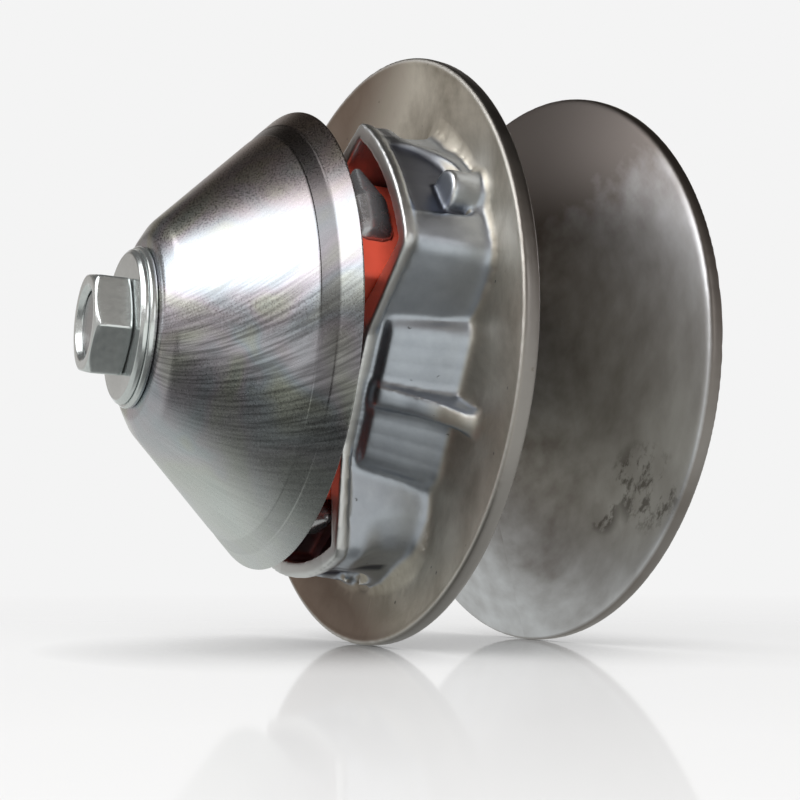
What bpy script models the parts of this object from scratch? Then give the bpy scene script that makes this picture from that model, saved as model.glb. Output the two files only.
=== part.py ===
"""Drive pulley of a belt variator: two sheaves on a shaft, three sliding wedges under a cone cover.

The pulley axis lies along world X. Axial places below are millimetres from the back rim of the
fixed sheave, growing towards the nut. World X is zero on the rear face of the hub.
"""
import math

import bmesh
import bpy
from mathutils import Matrix

for old in list(bpy.data.objects):
    bpy.data.objects.remove(old, do_unlink=True)

MM = 0.001
STEPS = 72
FINE_STEPS = 48

# Fits: room between neighbours, broken edges, and how far cutters and joined forms run past a face
GAP = 0.3
EASE = 0.5
BROKEN = 0.8
SINK = 1.0
OVERCUT = 5.0

# Sheaves
SHEAVE_R = 90.0
RIM_THICK = 4.85
BACK_THICK = 5.19
GROOVE_GAP = 55.41
FACE_ANGLE = 14.0
HUB_LENGTH = 8.0
HUB_REAR = -HUB_LENGTH
HUB_REAR_R = 30.0
HUB_FILLET = 2.0
RIBS = 9
RIB_HALF = 2.0
RIB_INSET = 8.0
RIB_FOOT = 10.0
SLOPE = math.tan(math.radians(FACE_ANGLE))
FIXED_RIM = RIM_THICK
MOVING_RIM = FIXED_RIM + GROOVE_GAP
MOVING_BACK = MOVING_RIM + BACK_THICK

# Belt idler, spring and their seats
SPRING_R = 18.2
WIRE = 3.2
SPRING_CLEAR = 1.2
SPRING_TURNS = 5.5
SPRING_SHOULDER = 69.0
IDLER_IN = SPRING_R + WIRE / 2 + SPRING_CLEAR
IDLER_WALL = 2.5
IDLER_LENGTH = 19.7
IDLER_OUT = IDLER_IN + IDLER_WALL
HUB_FACE = FIXED_RIM + (SHEAVE_R - IDLER_IN) * SLOPE
IDLER_START = HUB_FACE + GAP
IDLER_END = IDLER_START + IDLER_LENGTH
SEAT_THICK = 2.0
SEAT_CLEAR = 0.4
SEAT_END = IDLER_START + SEAT_THICK

# Sliding hub of the movable sheave, with the keys that turn it
SHAFT_R = 14.0
TRAVEL = 14.0
HUB_R = 27.5
HUB_END = 99.3
COUNTERBORE_R = IDLER_OUT + EASE
BUSH_WALL = 2.9
BUSH_R = SHAFT_R + GAP + BUSH_WALL
BUSH_LENGTH = 7.6
BUSH_CLEAR = 0.5
LAND_START = 78.0
LAND_END = 90.5
LAND_R = SHAFT_R + 2 * GAP
KEY_WIDTH = 5.0
KEY_SIDE = 0.15
KEY_END = 0.8
KEY_SUNK = 2.6
KEY_PROUD = 3.1
KEY_ROOT = SHAFT_R - KEY_SUNK
KEY_TOP = SHAFT_R + KEY_PROUD
KEY_ANGLES = (117.0, 297.0)

# Stop and spacer in front of the hub
THRUST_R = 21.0
THRUST_THICK = 1.4
CIRCLIP_SUNK = 1.2
CIRCLIP_PROUD = 3.5
CIRCLIP_THICK = 1.6
CIRCLIP_OPEN = 50
CIRCLIP_CLEAR = 0.4
CIRCLIP_IN = SHAFT_R - CIRCLIP_SUNK
CIRCLIP_OUT = SHAFT_R + CIRCLIP_PROUD
GROOVE_ROOT = CIRCLIP_IN - GAP
SPACER_R = 18.0
THRUST_START = HUB_END + GAP
CIRCLIP_START = THRUST_START + THRUST_THICK + CIRCLIP_CLEAR
CIRCLIP_END = CIRCLIP_START + CIRCLIP_THICK
SPACER_START = CIRCLIP_END + 2 * GAP

# Cone cover and its fastening
CONE_RIM = 97.38
CONE_RIM_R = 67.88
CONE_LENGTH = 38.62
CONE_END = CONE_RIM + CONE_LENGTH
CONE_END_R = 28.0
SHEET = 2.5
RIM_CURL = 1.2
STRIPE_INSET = 4.62
STRIPE_START = CONE_RIM + STRIPE_INSET
STRIPE_WIDTH = 3.5
STRIPE_DEPTH = 0.5
END_ROUND = 3.2
CONE_RISE = (CONE_RIM_R - CONE_END_R) / CONE_LENGTH
SHEET_AXIAL = SHEET / math.sin(math.atan(CONE_RISE))
SHOULDER = CONE_END - SHEET - GAP
NOSE_R = 9.0
NOSE_CLEAR = 0.4
WASHER_R = 21.96
WASHER_THICK = 1.96
WASHER_EDGE = 0.8
REAR_WASHER_R = 23.0
REAR_WASHER_THICK = 1.7
NUT_FLATS = 27.0
NUT_HEIGHT = 10.0
NUT_ANGLE = 43.0
REAR_WASHER_START = CONE_END + GAP
WASHER_START = REAR_WASHER_START + REAR_WASHER_THICK + GAP
NUT_START = WASHER_START + WASHER_THICK + GAP
NUT_END = NUT_START + NUT_HEIGHT
NOSE_SHORT = 1.6
NOSE_END = NUT_END - NOSE_SHORT

# Tapered seat for the crankshaft
BORE_MOUTH_R = 11.0
BORE_END_R = 8.0
BORE_DEPTH = 48.0
BORE_TIP = 4.0

# Wedges and weights: a wedge climbs the ramp of its lobe and slides down inside the cone
RAMP_FOOT = 55.0
RAMP_FOOT_R = 30.0
RAMP_ANGLE = 30.0
RAMP = math.tan(math.radians(RAMP_ANGLE))
SWING = TRAVEL / (1 / CONE_RISE + RAMP)
WEDGE_REST = 2.0
WEDGE_DEPTH = 15.98
WEDGE_IN = HUB_R + WEDGE_REST
WEDGE_OUT = CONE_RIM_R - WEDGE_DEPTH
WEDGE_HALF = 20.5
WEDGE_CLEAR = 0.5
WEDGE_FLAT = 4.0
WEIGHT_R = 7.0
WEIGHT_TIP_R = 2.2
WEIGHT_LENGTH = 26.0
WEIGHT_POINT = 6.0
WEIGHT_ROUND = 3.0
WEIGHT_PROUD = 3.0
WEIGHT_SHIFT = -4.5
WEIGHT_S = 84.5
WEIGHT_PLACE = WEDGE_OUT + WEIGHT_PROUD - WEIGHT_R

# Three-lobed cup around them
LOBE_ANGLES = (57.0, 177.0, 297.0)
CHAMBER_R = math.hypot(WEDGE_OUT + WEIGHT_PROUD + SWING,
                       abs(WEIGHT_SHIFT) + WEIGHT_LENGTH / 2 - WEIGHT_POINT) + WEDGE_CLEAR
CHAMBER_SIDE = 0.7
CHAMBER_HALF = WEDGE_HALF + CHAMBER_SIDE
CHAMBER_VALLEY = 39.8
CUP_FLOOR = 59.0
CUP_RIM = 86.0
LIP = 3.0
LIP_OVERHANG = 0.7
LIP_UNDER = CUP_RIM - LIP
LOBE_WALL = 4.5
SIDE_WALL = 3.3
VALLEY_WALL = 3.2
VALLEY_FLARE = 4.8
LOBE_R = CHAMBER_R + LOBE_WALL
LOBE_HALF = CHAMBER_HALF + SIDE_WALL
VALLEY_R = CHAMBER_VALLEY + VALLEY_WALL
VALLEY_HALF = LOBE_HALF + VALLEY_FLARE
DRAFT = 4.2
TOWER_PROUD = 2.5
TOWER_HALF = 21.0
TOWER_FLARE = 3.0
TOWER_SHORT = 5.5
TOWER_SPREAD = 9.0
BRACE_HALF = 3.2
BRACE_PROUD = 1.5
BRACE_RISE = (3.5, 8.0, 15.0)
BRACE_INSET = (4.0, 12.0, 18.5)
POCKET_WALL = 2.0
POCKET_FOOT = 6.6
POCKET_LEDGE = 0.7
POCKET_FLOOR = CHAMBER_R + POCKET_WALL
POCKET_START = CUP_FLOOR + POCKET_FOOT
POCKET_END = LIP_UNDER - POCKET_LEDGE
POCKET_UP = 12.2
POCKET_DOWN = 15.5
POST_R = 5.0
POST_PROUD = 1.7
POST_OFFSET = 7.9
POST_END = 70.5

parts = bpy.data.collections.new("cvt pulley set")
helpers = bpy.data.collections.new("cutters")
bpy.context.scene.collection.children.link(parts)
bpy.context.scene.collection.children.link(helpers)
TURN = Matrix.Rotation(math.pi / 2, 4, "Y")


def along(s):
    """World X, in metres, of an axial place."""
    return -(s - HUB_REAR) * MM


def finish(name, color, metal, rough):
    mat = bpy.data.materials.new(name)
    mat.use_nodes = True
    shader = mat.node_tree.nodes["Principled BSDF"]
    shader.inputs["Base Color"].default_value = (*color, 1.0)
    shader.inputs["Metallic"].default_value = metal
    shader.inputs["Roughness"].default_value = rough
    return mat


def place(name, mesh, mat, matrix):
    obj = bpy.data.objects.new(name, mesh)
    obj.matrix_world = matrix
    if mat is None:
        helpers.objects.link(obj)
        obj.hide_render = True
        obj.display_type = "WIRE"
    else:
        parts.objects.link(obj)
        own = mat.copy()
        own.name = f"{name}: {mat.name}"
        mesh.materials.append(own)
    return obj


def spun(obj, steps):
    """Spin the edges of a piece about its own upright axis."""
    screw = obj.modifiers.new("spin", "SCREW")
    screw.axis = "Z"
    screw.steps = steps
    screw.render_steps = steps
    screw.use_merge_vertices = True
    screw.merge_threshold = 1e-5
    screw.use_smooth_shade = False
    return obj


def turned(name, profile, mat=None, steps=STEPS, closed=True):
    """Spin a list of (axial place, radius) pairs about the pulley axis."""
    mesh = bpy.data.meshes.new(name)
    count = len(profile)
    edges = [(i, i + 1) for i in range(count - 1)]
    if closed:
        edges.append((count - 1, 0))
    mesh.from_pydata([(r * MM, 0.0, along(s)) for s, r in profile], edges, [])
    return spun(place(name, mesh, mat, TURN), steps)


def welded(curve, name):
    """A mesh made from a filled curve, with its seams closed."""
    holder = bpy.data.objects.new(name, curve)
    bpy.context.scene.collection.objects.link(holder)
    view = bpy.context.evaluated_depsgraph_get()
    mesh = bpy.data.meshes.new_from_object(holder.evaluated_get(view))
    bpy.data.objects.remove(holder, do_unlink=True)
    bm = bmesh.new()
    bm.from_mesh(mesh)
    bmesh.ops.remove_doubles(bm, verts=bm.verts, dist=1e-6)
    bmesh.ops.recalc_face_normals(bm, faces=bm.faces)
    bm.to_mesh(mesh)
    bm.free()
    mesh.name = name
    return mesh


def outline(name, loop, half):
    curve = bpy.data.curves.new(name, "CURVE")
    curve.dimensions = "2D"
    curve.fill_mode = "BOTH"
    curve.extrude = half * MM
    spline = curve.splines.new("POLY")
    spline.points.add(len(loop) - 1)
    for point, (a, b) in zip(spline.points, loop):
        point.co = (a * MM, b * MM, 0.0, 1.0)
    spline.use_cyclic_u = True
    return welded(curve, name)


def slab(name, loop, start, end, mat=None, angle=0.0):
    """Extrude an outline of (radial, tangential) points along the axis, turned to an angle."""
    mesh = outline(name, [(-u, -v) for u, v in loop], abs(end - start) / 2)
    lift = Matrix.Translation((0.0, 0.0, along((start + end) / 2)))
    spin = Matrix.Rotation(math.radians(angle), 4, "Z")
    return place(name, mesh, mat, TURN @ lift @ spin)


def loft(name, levels, angle):
    """Closed helper body through outlines of (radial, tangential) points at two axial places."""
    count = len(levels[0][1])
    points = []
    for s, loop in levels:
        points += [(-u * MM, -v * MM, along(s)) for u, v in loop]
    faces = [tuple(range(count)), tuple(range(2 * count - 1, count - 1, -1))]
    faces += [(i, i + count, (i + 1) % count + count, (i + 1) % count) for i in range(count)]
    mesh = bpy.data.meshes.new(name)
    mesh.from_pydata(points, [], faces)
    bm = bmesh.new()
    bm.from_mesh(mesh)
    bmesh.ops.recalc_face_normals(bm, faces=bm.faces)
    bm.to_mesh(mesh)
    bm.free()
    return place(name, mesh, None, TURN @ Matrix.Rotation(math.radians(angle), 4, "Z"))


def fin(name, loop, half, angle, mat=None):
    """Extrude an outline of (axial, radial) points both ways along the tangent at an angle."""
    mesh = outline(name, loop, half)
    a = math.radians(angle)
    flat = Matrix((
        (-1.0, 0.0, 0.0, along(0.0)),
        (0.0, -math.sin(a), math.cos(a), 0.0),
        (0.0, math.cos(a), math.sin(a), 0.0),
        (0.0, 0.0, 0.0, 1.0),
    ))
    return place(name, mesh, mat, flat)


def plug(name, loop, start, end, angle):
    """Extrude an outline of (axial, tangential) points outwards between two heights over the axis."""
    mesh = outline(name, loop, (end - start) / 2)
    a = math.radians(angle)
    middle = (start + end) / 2 * MM
    flat = Matrix((
        (-1.0, 0.0, 0.0, along(0.0)),
        (0.0, -math.cos(a), -math.sin(a), -middle * math.sin(a)),
        (0.0, -math.sin(a), math.cos(a), middle * math.cos(a)),
        (0.0, 0.0, 0.0, 1.0),
    ))
    return place(name, mesh, None, flat)


def cut(obj, tool, kind="DIFFERENCE"):
    mod = obj.modifiers.new(tool.name, "BOOLEAN")
    mod.operation = kind
    mod.solver = "EXACT"
    mod.object = tool


STRAIGHT = math.radians(83)


def rounded(corners, radius, pieces=4):
    """Round the corners of a closed polygon, apart from nearly straight ones."""
    loop = []
    count = len(corners)
    for i, (x, y) in enumerate(corners):
        px, py = corners[i - 1]
        nx, ny = corners[(i + 1) % count]
        la = math.hypot(px - x, py - y)
        lb = math.hypot(nx - x, ny - y)
        ax, ay = (px - x) / la, (py - y) / la
        bx, by = (nx - x) / lb, (ny - y) / lb
        half = math.acos(max(-1.0, min(1.0, ax * bx + ay * by))) / 2
        if half > STRAIGHT:
            loop.append((x, y))
            continue
        back = min(radius / math.tan(half), 0.45 * la, 0.45 * lb)
        for k in range(pieces + 1):
            t = k / pieces
            p = (1 - t) ** 2 * back
            q = t ** 2 * back
            loop.append((x + ax * p + bx * q, y + ay * p + by * q))
    return loop


def trefoil(arc_r, half, valley_r, valley_half, radius):
    """Closed three-lobed outline; the first lobe is centred on the first axis."""
    loop = []
    inner_u = (valley_r - valley_half * math.sin(math.radians(60))) / 0.5
    for k in range(3):
        turn = math.radians(120 * k)
        corner = math.sqrt(arc_r ** 2 - half ** 2)
        side = [(inner_u, -valley_half), (corner, -half)]
        reach = math.atan2(half, corner)
        arc = [(arc_r * math.cos(reach * t / 8), arc_r * math.sin(reach * t / 8)) for t in range(-6, 7)]
        other = [(corner, half), (inner_u, valley_half)]
        for u, v in side + arc + other:
            loop.append((u * math.cos(turn) - v * math.sin(turn),
                         u * math.sin(turn) + v * math.cos(turn)))
    return rounded(loop, radius, 3)


def belt_face(rim, r, way):
    return rim + way * (SHEAVE_R - r) * SLOPE


def ramp_at(r):
    """Axial place of a lobe's sloping floor at a radius."""
    return RAMP_FOOT + (r - RAMP_FOOT_R) * RAMP


def cone_at(r):
    """Axial place of the cover's outside at a radius."""
    return CONE_RIM + (CONE_RIM_R - r) / CONE_RISE


def cone_r(s):
    """Radius of the cover's outside at an axial place."""
    return CONE_RIM_R - (s - CONE_RIM) * CONE_RISE


def tube(start, end, inner, outer):
    """Profile of a plain ring."""
    return [(start, inner), (start, outer), (end, outer), (end, inner)]


aluminium = finish("cast aluminium", (0.52, 0.50, 0.47), 1.0, 0.45)
steel = finish("machined steel", (0.45, 0.45, 0.46), 1.0, 0.3)
zinc = finish("zinc plated steel", (0.66, 0.68, 0.72), 1.0, 0.25)
cone_zinc = finish("zinc plated spun steel", (0.60, 0.60, 0.60), 1.0, 0.3)
dark = finish("dark weight steel", (0.12, 0.12, 0.13), 1.0, 0.35)
red = finish("red moulded nylon", (0.52, 0.06, 0.03), 0.0, 0.5)
bronze = finish("sintered bronze", (0.55, 0.38, 0.18), 1.0, 0.45)
spring_steel = finish("spring steel", (0.25, 0.25, 0.26), 1.0, 0.35)

# Fixed sheave with its ribbed back
fillet_r = HUB_REAR_R + HUB_FILLET
fixed_sheave = turned("fixed_sheave", [
    (HUB_REAR, SHAFT_R + GAP), (HUB_REAR, HUB_REAR_R), (belt_face(0.0, fillet_r, 1), fillet_r),
    (0.7 * BROKEN, SHEAVE_R - 3 * BROKEN), (0.0, SHEAVE_R - SINK),
    (GAP, SHEAVE_R - GAP), (BROKEN, SHEAVE_R),
    (FIXED_RIM - BROKEN, SHEAVE_R), (FIXED_RIM, SHEAVE_R - EASE),
    (belt_face(FIXED_RIM, IDLER_IN + SEAT_CLEAR, 1), IDLER_IN + SEAT_CLEAR), (HUB_FACE, IDLER_IN),
    (HUB_FACE, SHAFT_R + GAP),
], aluminium)
rib_root = HUB_REAR_R - RIB_HALF
rib_foot = HUB_REAR_R + RIB_FOOT
rib_tip = SHEAVE_R - RIB_INSET
for k in range(RIBS):
    rib = fin(f"back_rib_{k + 1}", [
        (EASE, rib_root), (belt_face(RIB_HALF, rib_root, 1), rib_root),
        (belt_face(RIB_HALF, rib_foot, 1), rib_foot), (belt_face(SINK, rib_tip, 1), rib_tip),
        (BROKEN, rib_tip), (-SINK, (rib_foot + rib_tip) / 2)],
        RIB_HALF, 20 + 360 / RIBS * k)
    cut(fixed_sheave, rib, "UNION")

# Shaft: tapered seat for the crankshaft, circlip groove, threaded nose, two keyways
bore_end = HUB_REAR + BORE_DEPTH
groove_start = CIRCLIP_START - GAP
groove_end = CIRCLIP_END + GAP
shaft = turned("shaft", [
    (bore_end + BORE_TIP, 0.0), (bore_end, BORE_END_R),
    (HUB_REAR, BORE_MOUTH_R), (HUB_REAR, SHAFT_R - BROKEN), (HUB_REAR + BROKEN, SHAFT_R),
    (groove_start, SHAFT_R), (groove_start, GROOVE_ROOT), (groove_end, GROOVE_ROOT), (groove_end, SHAFT_R),
    (SHOULDER, SHAFT_R), (SHOULDER, NOSE_R), (NOSE_END - BROKEN, NOSE_R), (NOSE_END, NOSE_R - BROKEN),
    (NOSE_END, 0.0),
], steel, FINE_STEPS, closed=False)
keyway_start = LAND_START - TRAVEL - KEY_END
keyway_end = LAND_END + EASE
for k, angle in enumerate(KEY_ANGLES):
    slot = tube(keyway_start, keyway_end, KEY_ROOT - GAP, SHAFT_R + OVERCUT)
    keyway = fin(f"shaft_keyway_{k + 1}", slot, KEY_WIDTH / 2 + KEY_SIDE, angle)
    cut(shaft, keyway)

# Parts in the belt gap
turned("idler_sleeve", [
    (IDLER_START, IDLER_IN), (IDLER_START, IDLER_OUT - EASE), (IDLER_START + EASE, IDLER_OUT),
    (IDLER_END - EASE, IDLER_OUT), (IDLER_END, IDLER_OUT - EASE), (IDLER_END, IDLER_IN)], steel, FINE_STEPS)
turned("spring_seat", tube(IDLER_START, SEAT_END, SHAFT_R + GAP, IDLER_IN - SEAT_CLEAR), zinc, FINE_STEPS)

# Return spring: one unbroken round wire, with a straight tail of one wire diameter at each end
spring_curve = bpy.data.curves.new("return_spring", "CURVE")
spring_curve.dimensions = "3D"
spring_curve.bevel_depth = WIRE / 2 * MM
spring_curve.bevel_resolution = 1
spring_curve.use_fill_caps = True
low = SEAT_END + GAP + WIRE / 2
high = SPRING_SHOULDER - GAP - WIRE / 2
PER_TURN = 10
total = int(SPRING_TURNS * PER_TURN)
wire_points = []
for i in range(total + 1):
    a = 2 * math.pi * i / PER_TURN
    wire_points.append((SPRING_R * math.cos(a), SPRING_R * math.sin(a), low + (high - low) * i / total))
last = 2 * math.pi * SPRING_TURNS
wire_points.insert(0, (SPRING_R, -WIRE, low))
wire_points.append((SPRING_R * math.cos(last) - WIRE * math.sin(last),
                    SPRING_R * math.sin(last) + WIRE * math.cos(last), high))
spline = spring_curve.splines.new("POLY")
spline.points.add(len(wire_points) - 1)
for point, (a, b, s) in zip(spline.points, wire_points):
    point.co = (a * MM, b * MM, along(s), 1.0)
place("return_spring", welded(spring_curve, "return_spring"), spring_steel, TURN)
apart = [math.dist(p, q) - WIRE for i, p in enumerate(wire_points) for q in wire_points[i + PER_TURN // 2:]]
print("spring: least gap to itself", round(min(apart), 2), "mm")

# Movable sheave: disc and hub first
moving = turned("movable_sheave", [
    (belt_face(MOVING_RIM, COUNTERBORE_R, -1), COUNTERBORE_R), (MOVING_RIM, SHEAVE_R - EASE),
    (MOVING_RIM + BROKEN, SHEAVE_R), (MOVING_BACK - BROKEN, SHEAVE_R),
    (MOVING_BACK - 0.2 * BROKEN, SHEAVE_R - EASE),
    (MOVING_BACK, SHEAVE_R - 1.5 * BROKEN), (MOVING_BACK - BROKEN, SHEAVE_R - 3 * BROKEN),
    (CUP_FLOOR + EASE, LOBE_R - 4 * SINK), (CUP_FLOOR, LOBE_R - 8 * SINK), (CUP_FLOOR, HUB_R),
    (HUB_END - BROKEN, HUB_R), (HUB_END, HUB_R - BROKEN),
    (HUB_END, BUSH_R + GAP), (LAND_END, BUSH_R + GAP), (LAND_END, LAND_R), (LAND_START, LAND_R),
    (LAND_START, BUSH_R + GAP), (SPRING_SHOULDER, BUSH_R + GAP), (SPRING_SHOULDER, COUNTERBORE_R),
], aluminium)

# Three-lobed cup with its lip
FOOT_ROUND = 6.0
BODY_ROUND = 5.0
LIP_ROUND = 4.0
TOWER_ROUND = 3.0
cup = loft("cup_body", [
    (CUP_FLOOR - 2.0 * SINK, trefoil(LOBE_R + DRAFT - LIP_OVERHANG, LOBE_HALF + DRAFT,
                                     VALLEY_R + 1.6 * DRAFT, VALLEY_HALF + 0.8 * DRAFT, FOOT_ROUND)),
    (LIP_UNDER + EASE, trefoil(LOBE_R - LIP_OVERHANG, LOBE_HALF - LIP_OVERHANG, VALLEY_R - LIP_OVERHANG,
                               VALLEY_HALF - 4 * LIP_OVERHANG, BODY_ROUND)),
], LOBE_ANGLES[0])
lip = slab("cup_lip", trefoil(LOBE_R, LOBE_HALF, VALLEY_R, VALLEY_HALF, LIP_ROUND),
           LIP_UNDER, CUP_RIM, None, LOBE_ANGLES[0])
cut(cup, lip, "UNION")
tower_top = CUP_RIM - TOWER_SHORT
tower_face = VALLEY_R + TOWER_PROUD
tower_root = CHAMBER_VALLEY - 3 * SINK


def block(face, half):
    """Rounded outline of a valley tower at one height."""
    return rounded([(tower_root, -half), (face, -half), (face, half), (tower_root, half)], TOWER_ROUND, 3)


pocket_length = POCKET_END - POCKET_START
pocket_edge = [(POCKET_START + pocket_length * a, -POCKET_UP * b) for a, b in (
    (1.0, 1.0), (0.62, 0.98), (0.38, 0.85), (0.2, 0.66), (0.07, 0.42), (0.0, 0.15))]
pocket_edge += [(POCKET_START, POCKET_DOWN), (POCKET_END, POCKET_DOWN)]
post_centre = POCKET_FLOOR + POST_PROUD
post_turns = [math.radians(turn) for turn in range(0, 360, 24)]
post_round = [(post_centre + POST_R * math.cos(t), POST_OFFSET + POST_R * math.sin(t)) for t in post_turns]
brace_foot = CUP_FLOOR - 1.1 * SINK
brace_curve = [(brace_foot, VALLEY_R - 2 * SINK), (brace_foot, LOBE_R - 0.8 * SINK)]
brace_curve += [(CUP_FLOOR + up, LOBE_R - inset) for up, inset in zip(BRACE_RISE, BRACE_INSET)]
brace_curve += [(tower_top + SINK, tower_face + BRACE_PROUD), (tower_top + SINK, VALLEY_R - 2 * SINK)]
for k, angle in enumerate(LOBE_ANGLES):
    valley = angle + 60.0
    tower = loft(f"valley_tower_{k + 1}", [
        (CUP_FLOOR - 1.5 * SINK, block(tower_face + TOWER_SPREAD, TOWER_HALF + TOWER_FLARE)),
        (tower_top, block(tower_face, TOWER_HALF)),
    ], valley)
    cut(cup, tower, "UNION")
    brace = fin(f"valley_brace_{k + 1}", brace_curve, BRACE_HALF, valley)
    cut(cup, brace, "UNION")
    pocket = plug(f"lobe_pocket_{k + 1}", pocket_edge, POCKET_FLOOR, LOBE_R + DRAFT + OVERCUT, angle)
    cut(cup, pocket)
    post = slab(f"pocket_post_{k + 1}", post_round, CUP_FLOOR - 0.7 * SINK, POST_END, None, angle)
    cut(cup, post, "UNION")
core = turned("cup_core", [(CUP_FLOOR - 2 * OVERCUT, 0.0), (CUP_FLOOR - 2 * OVERCUT, HUB_R - SINK),
                           (CUP_RIM + 2 * OVERCUT, HUB_R - SINK), (CUP_RIM + 2 * OVERCUT, 0.0)],
              None, STEPS, closed=False)
cut(cup, core)
cut(moving, cup, "UNION")

# Room for the wedges: a round well around the hub and one ramped chamber in each lobe
well_in = HUB_R + SEAT_CLEAR
room_in = HUB_R + 2 * GAP
room_out = CHAMBER_R + OVERCUT
well = turned("cup_well", tube(CUP_FLOOR + 2.0 * SINK, CUP_RIM + OVERCUT, well_in, CHAMBER_VALLEY))
cut(moving, well)
limit = turned("chamber_limit", [
    (RAMP_FOOT - 2 * OVERCUT, 0.0), (RAMP_FOOT - 2 * OVERCUT, CHAMBER_R),
    (CUP_RIM + 2 * OVERCUT, CHAMBER_R), (CUP_RIM + 2 * OVERCUT, 0.0)], None, STEPS, closed=False)
for k, angle in enumerate(LOBE_ANGLES):
    room = fin(f"lobe_chamber_{k + 1}", [
        (ramp_at(room_in), room_in), (ramp_at(room_out), room_out), (CUP_RIM + 1.6 * OVERCUT, room_out),
        (CUP_RIM + 1.6 * OVERCUT, room_in)], CHAMBER_HALF, angle)
    cut(room, limit, "INTERSECT")
    cut(moving, room)
for k, angle in enumerate(KEY_ANGLES):
    slot = tube(LAND_START - SINK, LAND_END + SINK, SHAFT_R - 2 * SINK, KEY_TOP + GAP)
    keyway = fin(f"hub_keyway_{k + 1}", slot, KEY_WIDTH / 2 + GAP, angle)
    cut(moving, keyway)
    fin(f"drive_key_{k + 1}", tube(LAND_START + KEY_END, LAND_END - KEY_END, KEY_ROOT, KEY_TOP),
        KEY_WIDTH / 2 - KEY_SIDE, angle, steel)
bush_starts = {"rear_bush": SPRING_SHOULDER + BUSH_CLEAR, "front_bush": HUB_END - BUSH_CLEAR - BUSH_LENGTH}
for name, start in bush_starts.items():
    turned(name, tube(start, start + BUSH_LENGTH, SHAFT_R + GAP, BUSH_R), bronze, FINE_STEPS)

# Stop and spacer
turned("thrust_washer", tube(THRUST_START, THRUST_START + THRUST_THICK, SHAFT_R + GAP, THRUST_R),
       zinc, FINE_STEPS)
ring = []
for t in range(CIRCLIP_OPEN // 2, 361 - CIRCLIP_OPEN // 2, 10):
    ring.append((CIRCLIP_OUT * math.cos(math.radians(t)), CIRCLIP_OUT * math.sin(math.radians(t))))
for t in range(360 - CIRCLIP_OPEN // 2, CIRCLIP_OPEN // 2 - 1, -10):
    ring.append((CIRCLIP_IN * math.cos(math.radians(t)), CIRCLIP_IN * math.sin(math.radians(t))))
slab("circlip", ring, CIRCLIP_START, CIRCLIP_END, spring_steel)
turned("spacer_tube", tube(SPACER_START, SHOULDER, SHAFT_R + GAP, SPACER_R), steel, FINE_STEPS)

# Cone cover: rim, shallow stripe, rounded end and its flat seat
inside = CONE_END - SHEET
hole = NOSE_R + NOSE_CLEAR
end_r = CONE_END_R + END_ROUND
stripe_end = STRIPE_START + STRIPE_WIDTH
slant = STRIPE_DEPTH * 0.6
turned("cone_cover", [
    (CONE_RIM, cone_r(CONE_RIM + SHEET_AXIAL)), (CONE_RIM - GAP, CONE_RIM_R - RIM_CURL),
    (CONE_RIM, CONE_RIM_R), (STRIPE_START, cone_r(STRIPE_START)),
    (STRIPE_START + slant, cone_r(STRIPE_START + slant + STRIPE_DEPTH)),
    (stripe_end - slant, cone_r(stripe_end - slant + STRIPE_DEPTH)), (stripe_end, cone_r(stripe_end)),
    (cone_at(end_r), end_r), (CONE_END - 0.5 * END_ROUND, end_r - 0.62 * END_ROUND),
    (CONE_END - 0.16 * END_ROUND, end_r - 1.25 * END_ROUND), (CONE_END, end_r - 2 * END_ROUND),
    (CONE_END, hole), (inside, hole), (inside, end_r - 2.3 * END_ROUND),
    (inside - 0.38 * END_ROUND, end_r - 1.56 * END_ROUND),
    (cone_at(end_r - 0.94 * END_ROUND) - SHEET_AXIAL, end_r - 0.94 * END_ROUND)], cone_zinc)

# Washers and nut
turned("rear_washer", tube(REAR_WASHER_START, REAR_WASHER_START + REAR_WASHER_THICK, hole, REAR_WASHER_R),
       zinc, FINE_STEPS)
washer_end = WASHER_START + WASHER_THICK
turned("front_washer", [
    (WASHER_START, hole), (WASHER_START, WASHER_R), (washer_end - WASHER_EDGE, WASHER_R),
    (washer_end, WASHER_R - WASHER_EDGE), (washer_end, hole)], zinc, FINE_STEPS)
corner_r = NUT_FLATS / math.sqrt(3)
corners = [math.radians(60 * k) for k in range(6)]
hexagon = [(corner_r * math.cos(t), corner_r * math.sin(t)) for t in corners]
nut = slab("hub_nut", hexagon, NUT_START, NUT_END, zinc, NUT_ANGLE)
CHAMFER_SLOPE = math.tan(math.radians(30))
crown = (corner_r - NUT_FLATS / 2) * 1.2
chamfer_r = corner_r + SINK
chamfer = turned("nut_chamfer", [
    (NUT_START - SINK, 0.0), (NUT_START - SINK, chamfer_r - crown - SINK / CHAMFER_SLOPE),
    (NUT_START + crown * CHAMFER_SLOPE, chamfer_r), (NUT_END - crown * CHAMFER_SLOPE, chamfer_r),
    (NUT_END + SINK, chamfer_r - crown - SINK / CHAMFER_SLOPE), (NUT_END + SINK, 0.0)],
    None, FINE_STEPS, closed=False)
bore = turned("nut_bore", [
    (NUT_START - SINK, 0.0), (NUT_START - SINK, NOSE_R + GAP), (NUT_END - SINK, NOSE_R + GAP),
    (NUT_END + SINK, NOSE_R + GAP + 2 * SINK), (NUT_END + SINK, 0.0)], None, FINE_STEPS, closed=False)
cut(nut, chamfer, "INTERSECT")
cut(nut, bore)

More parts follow.
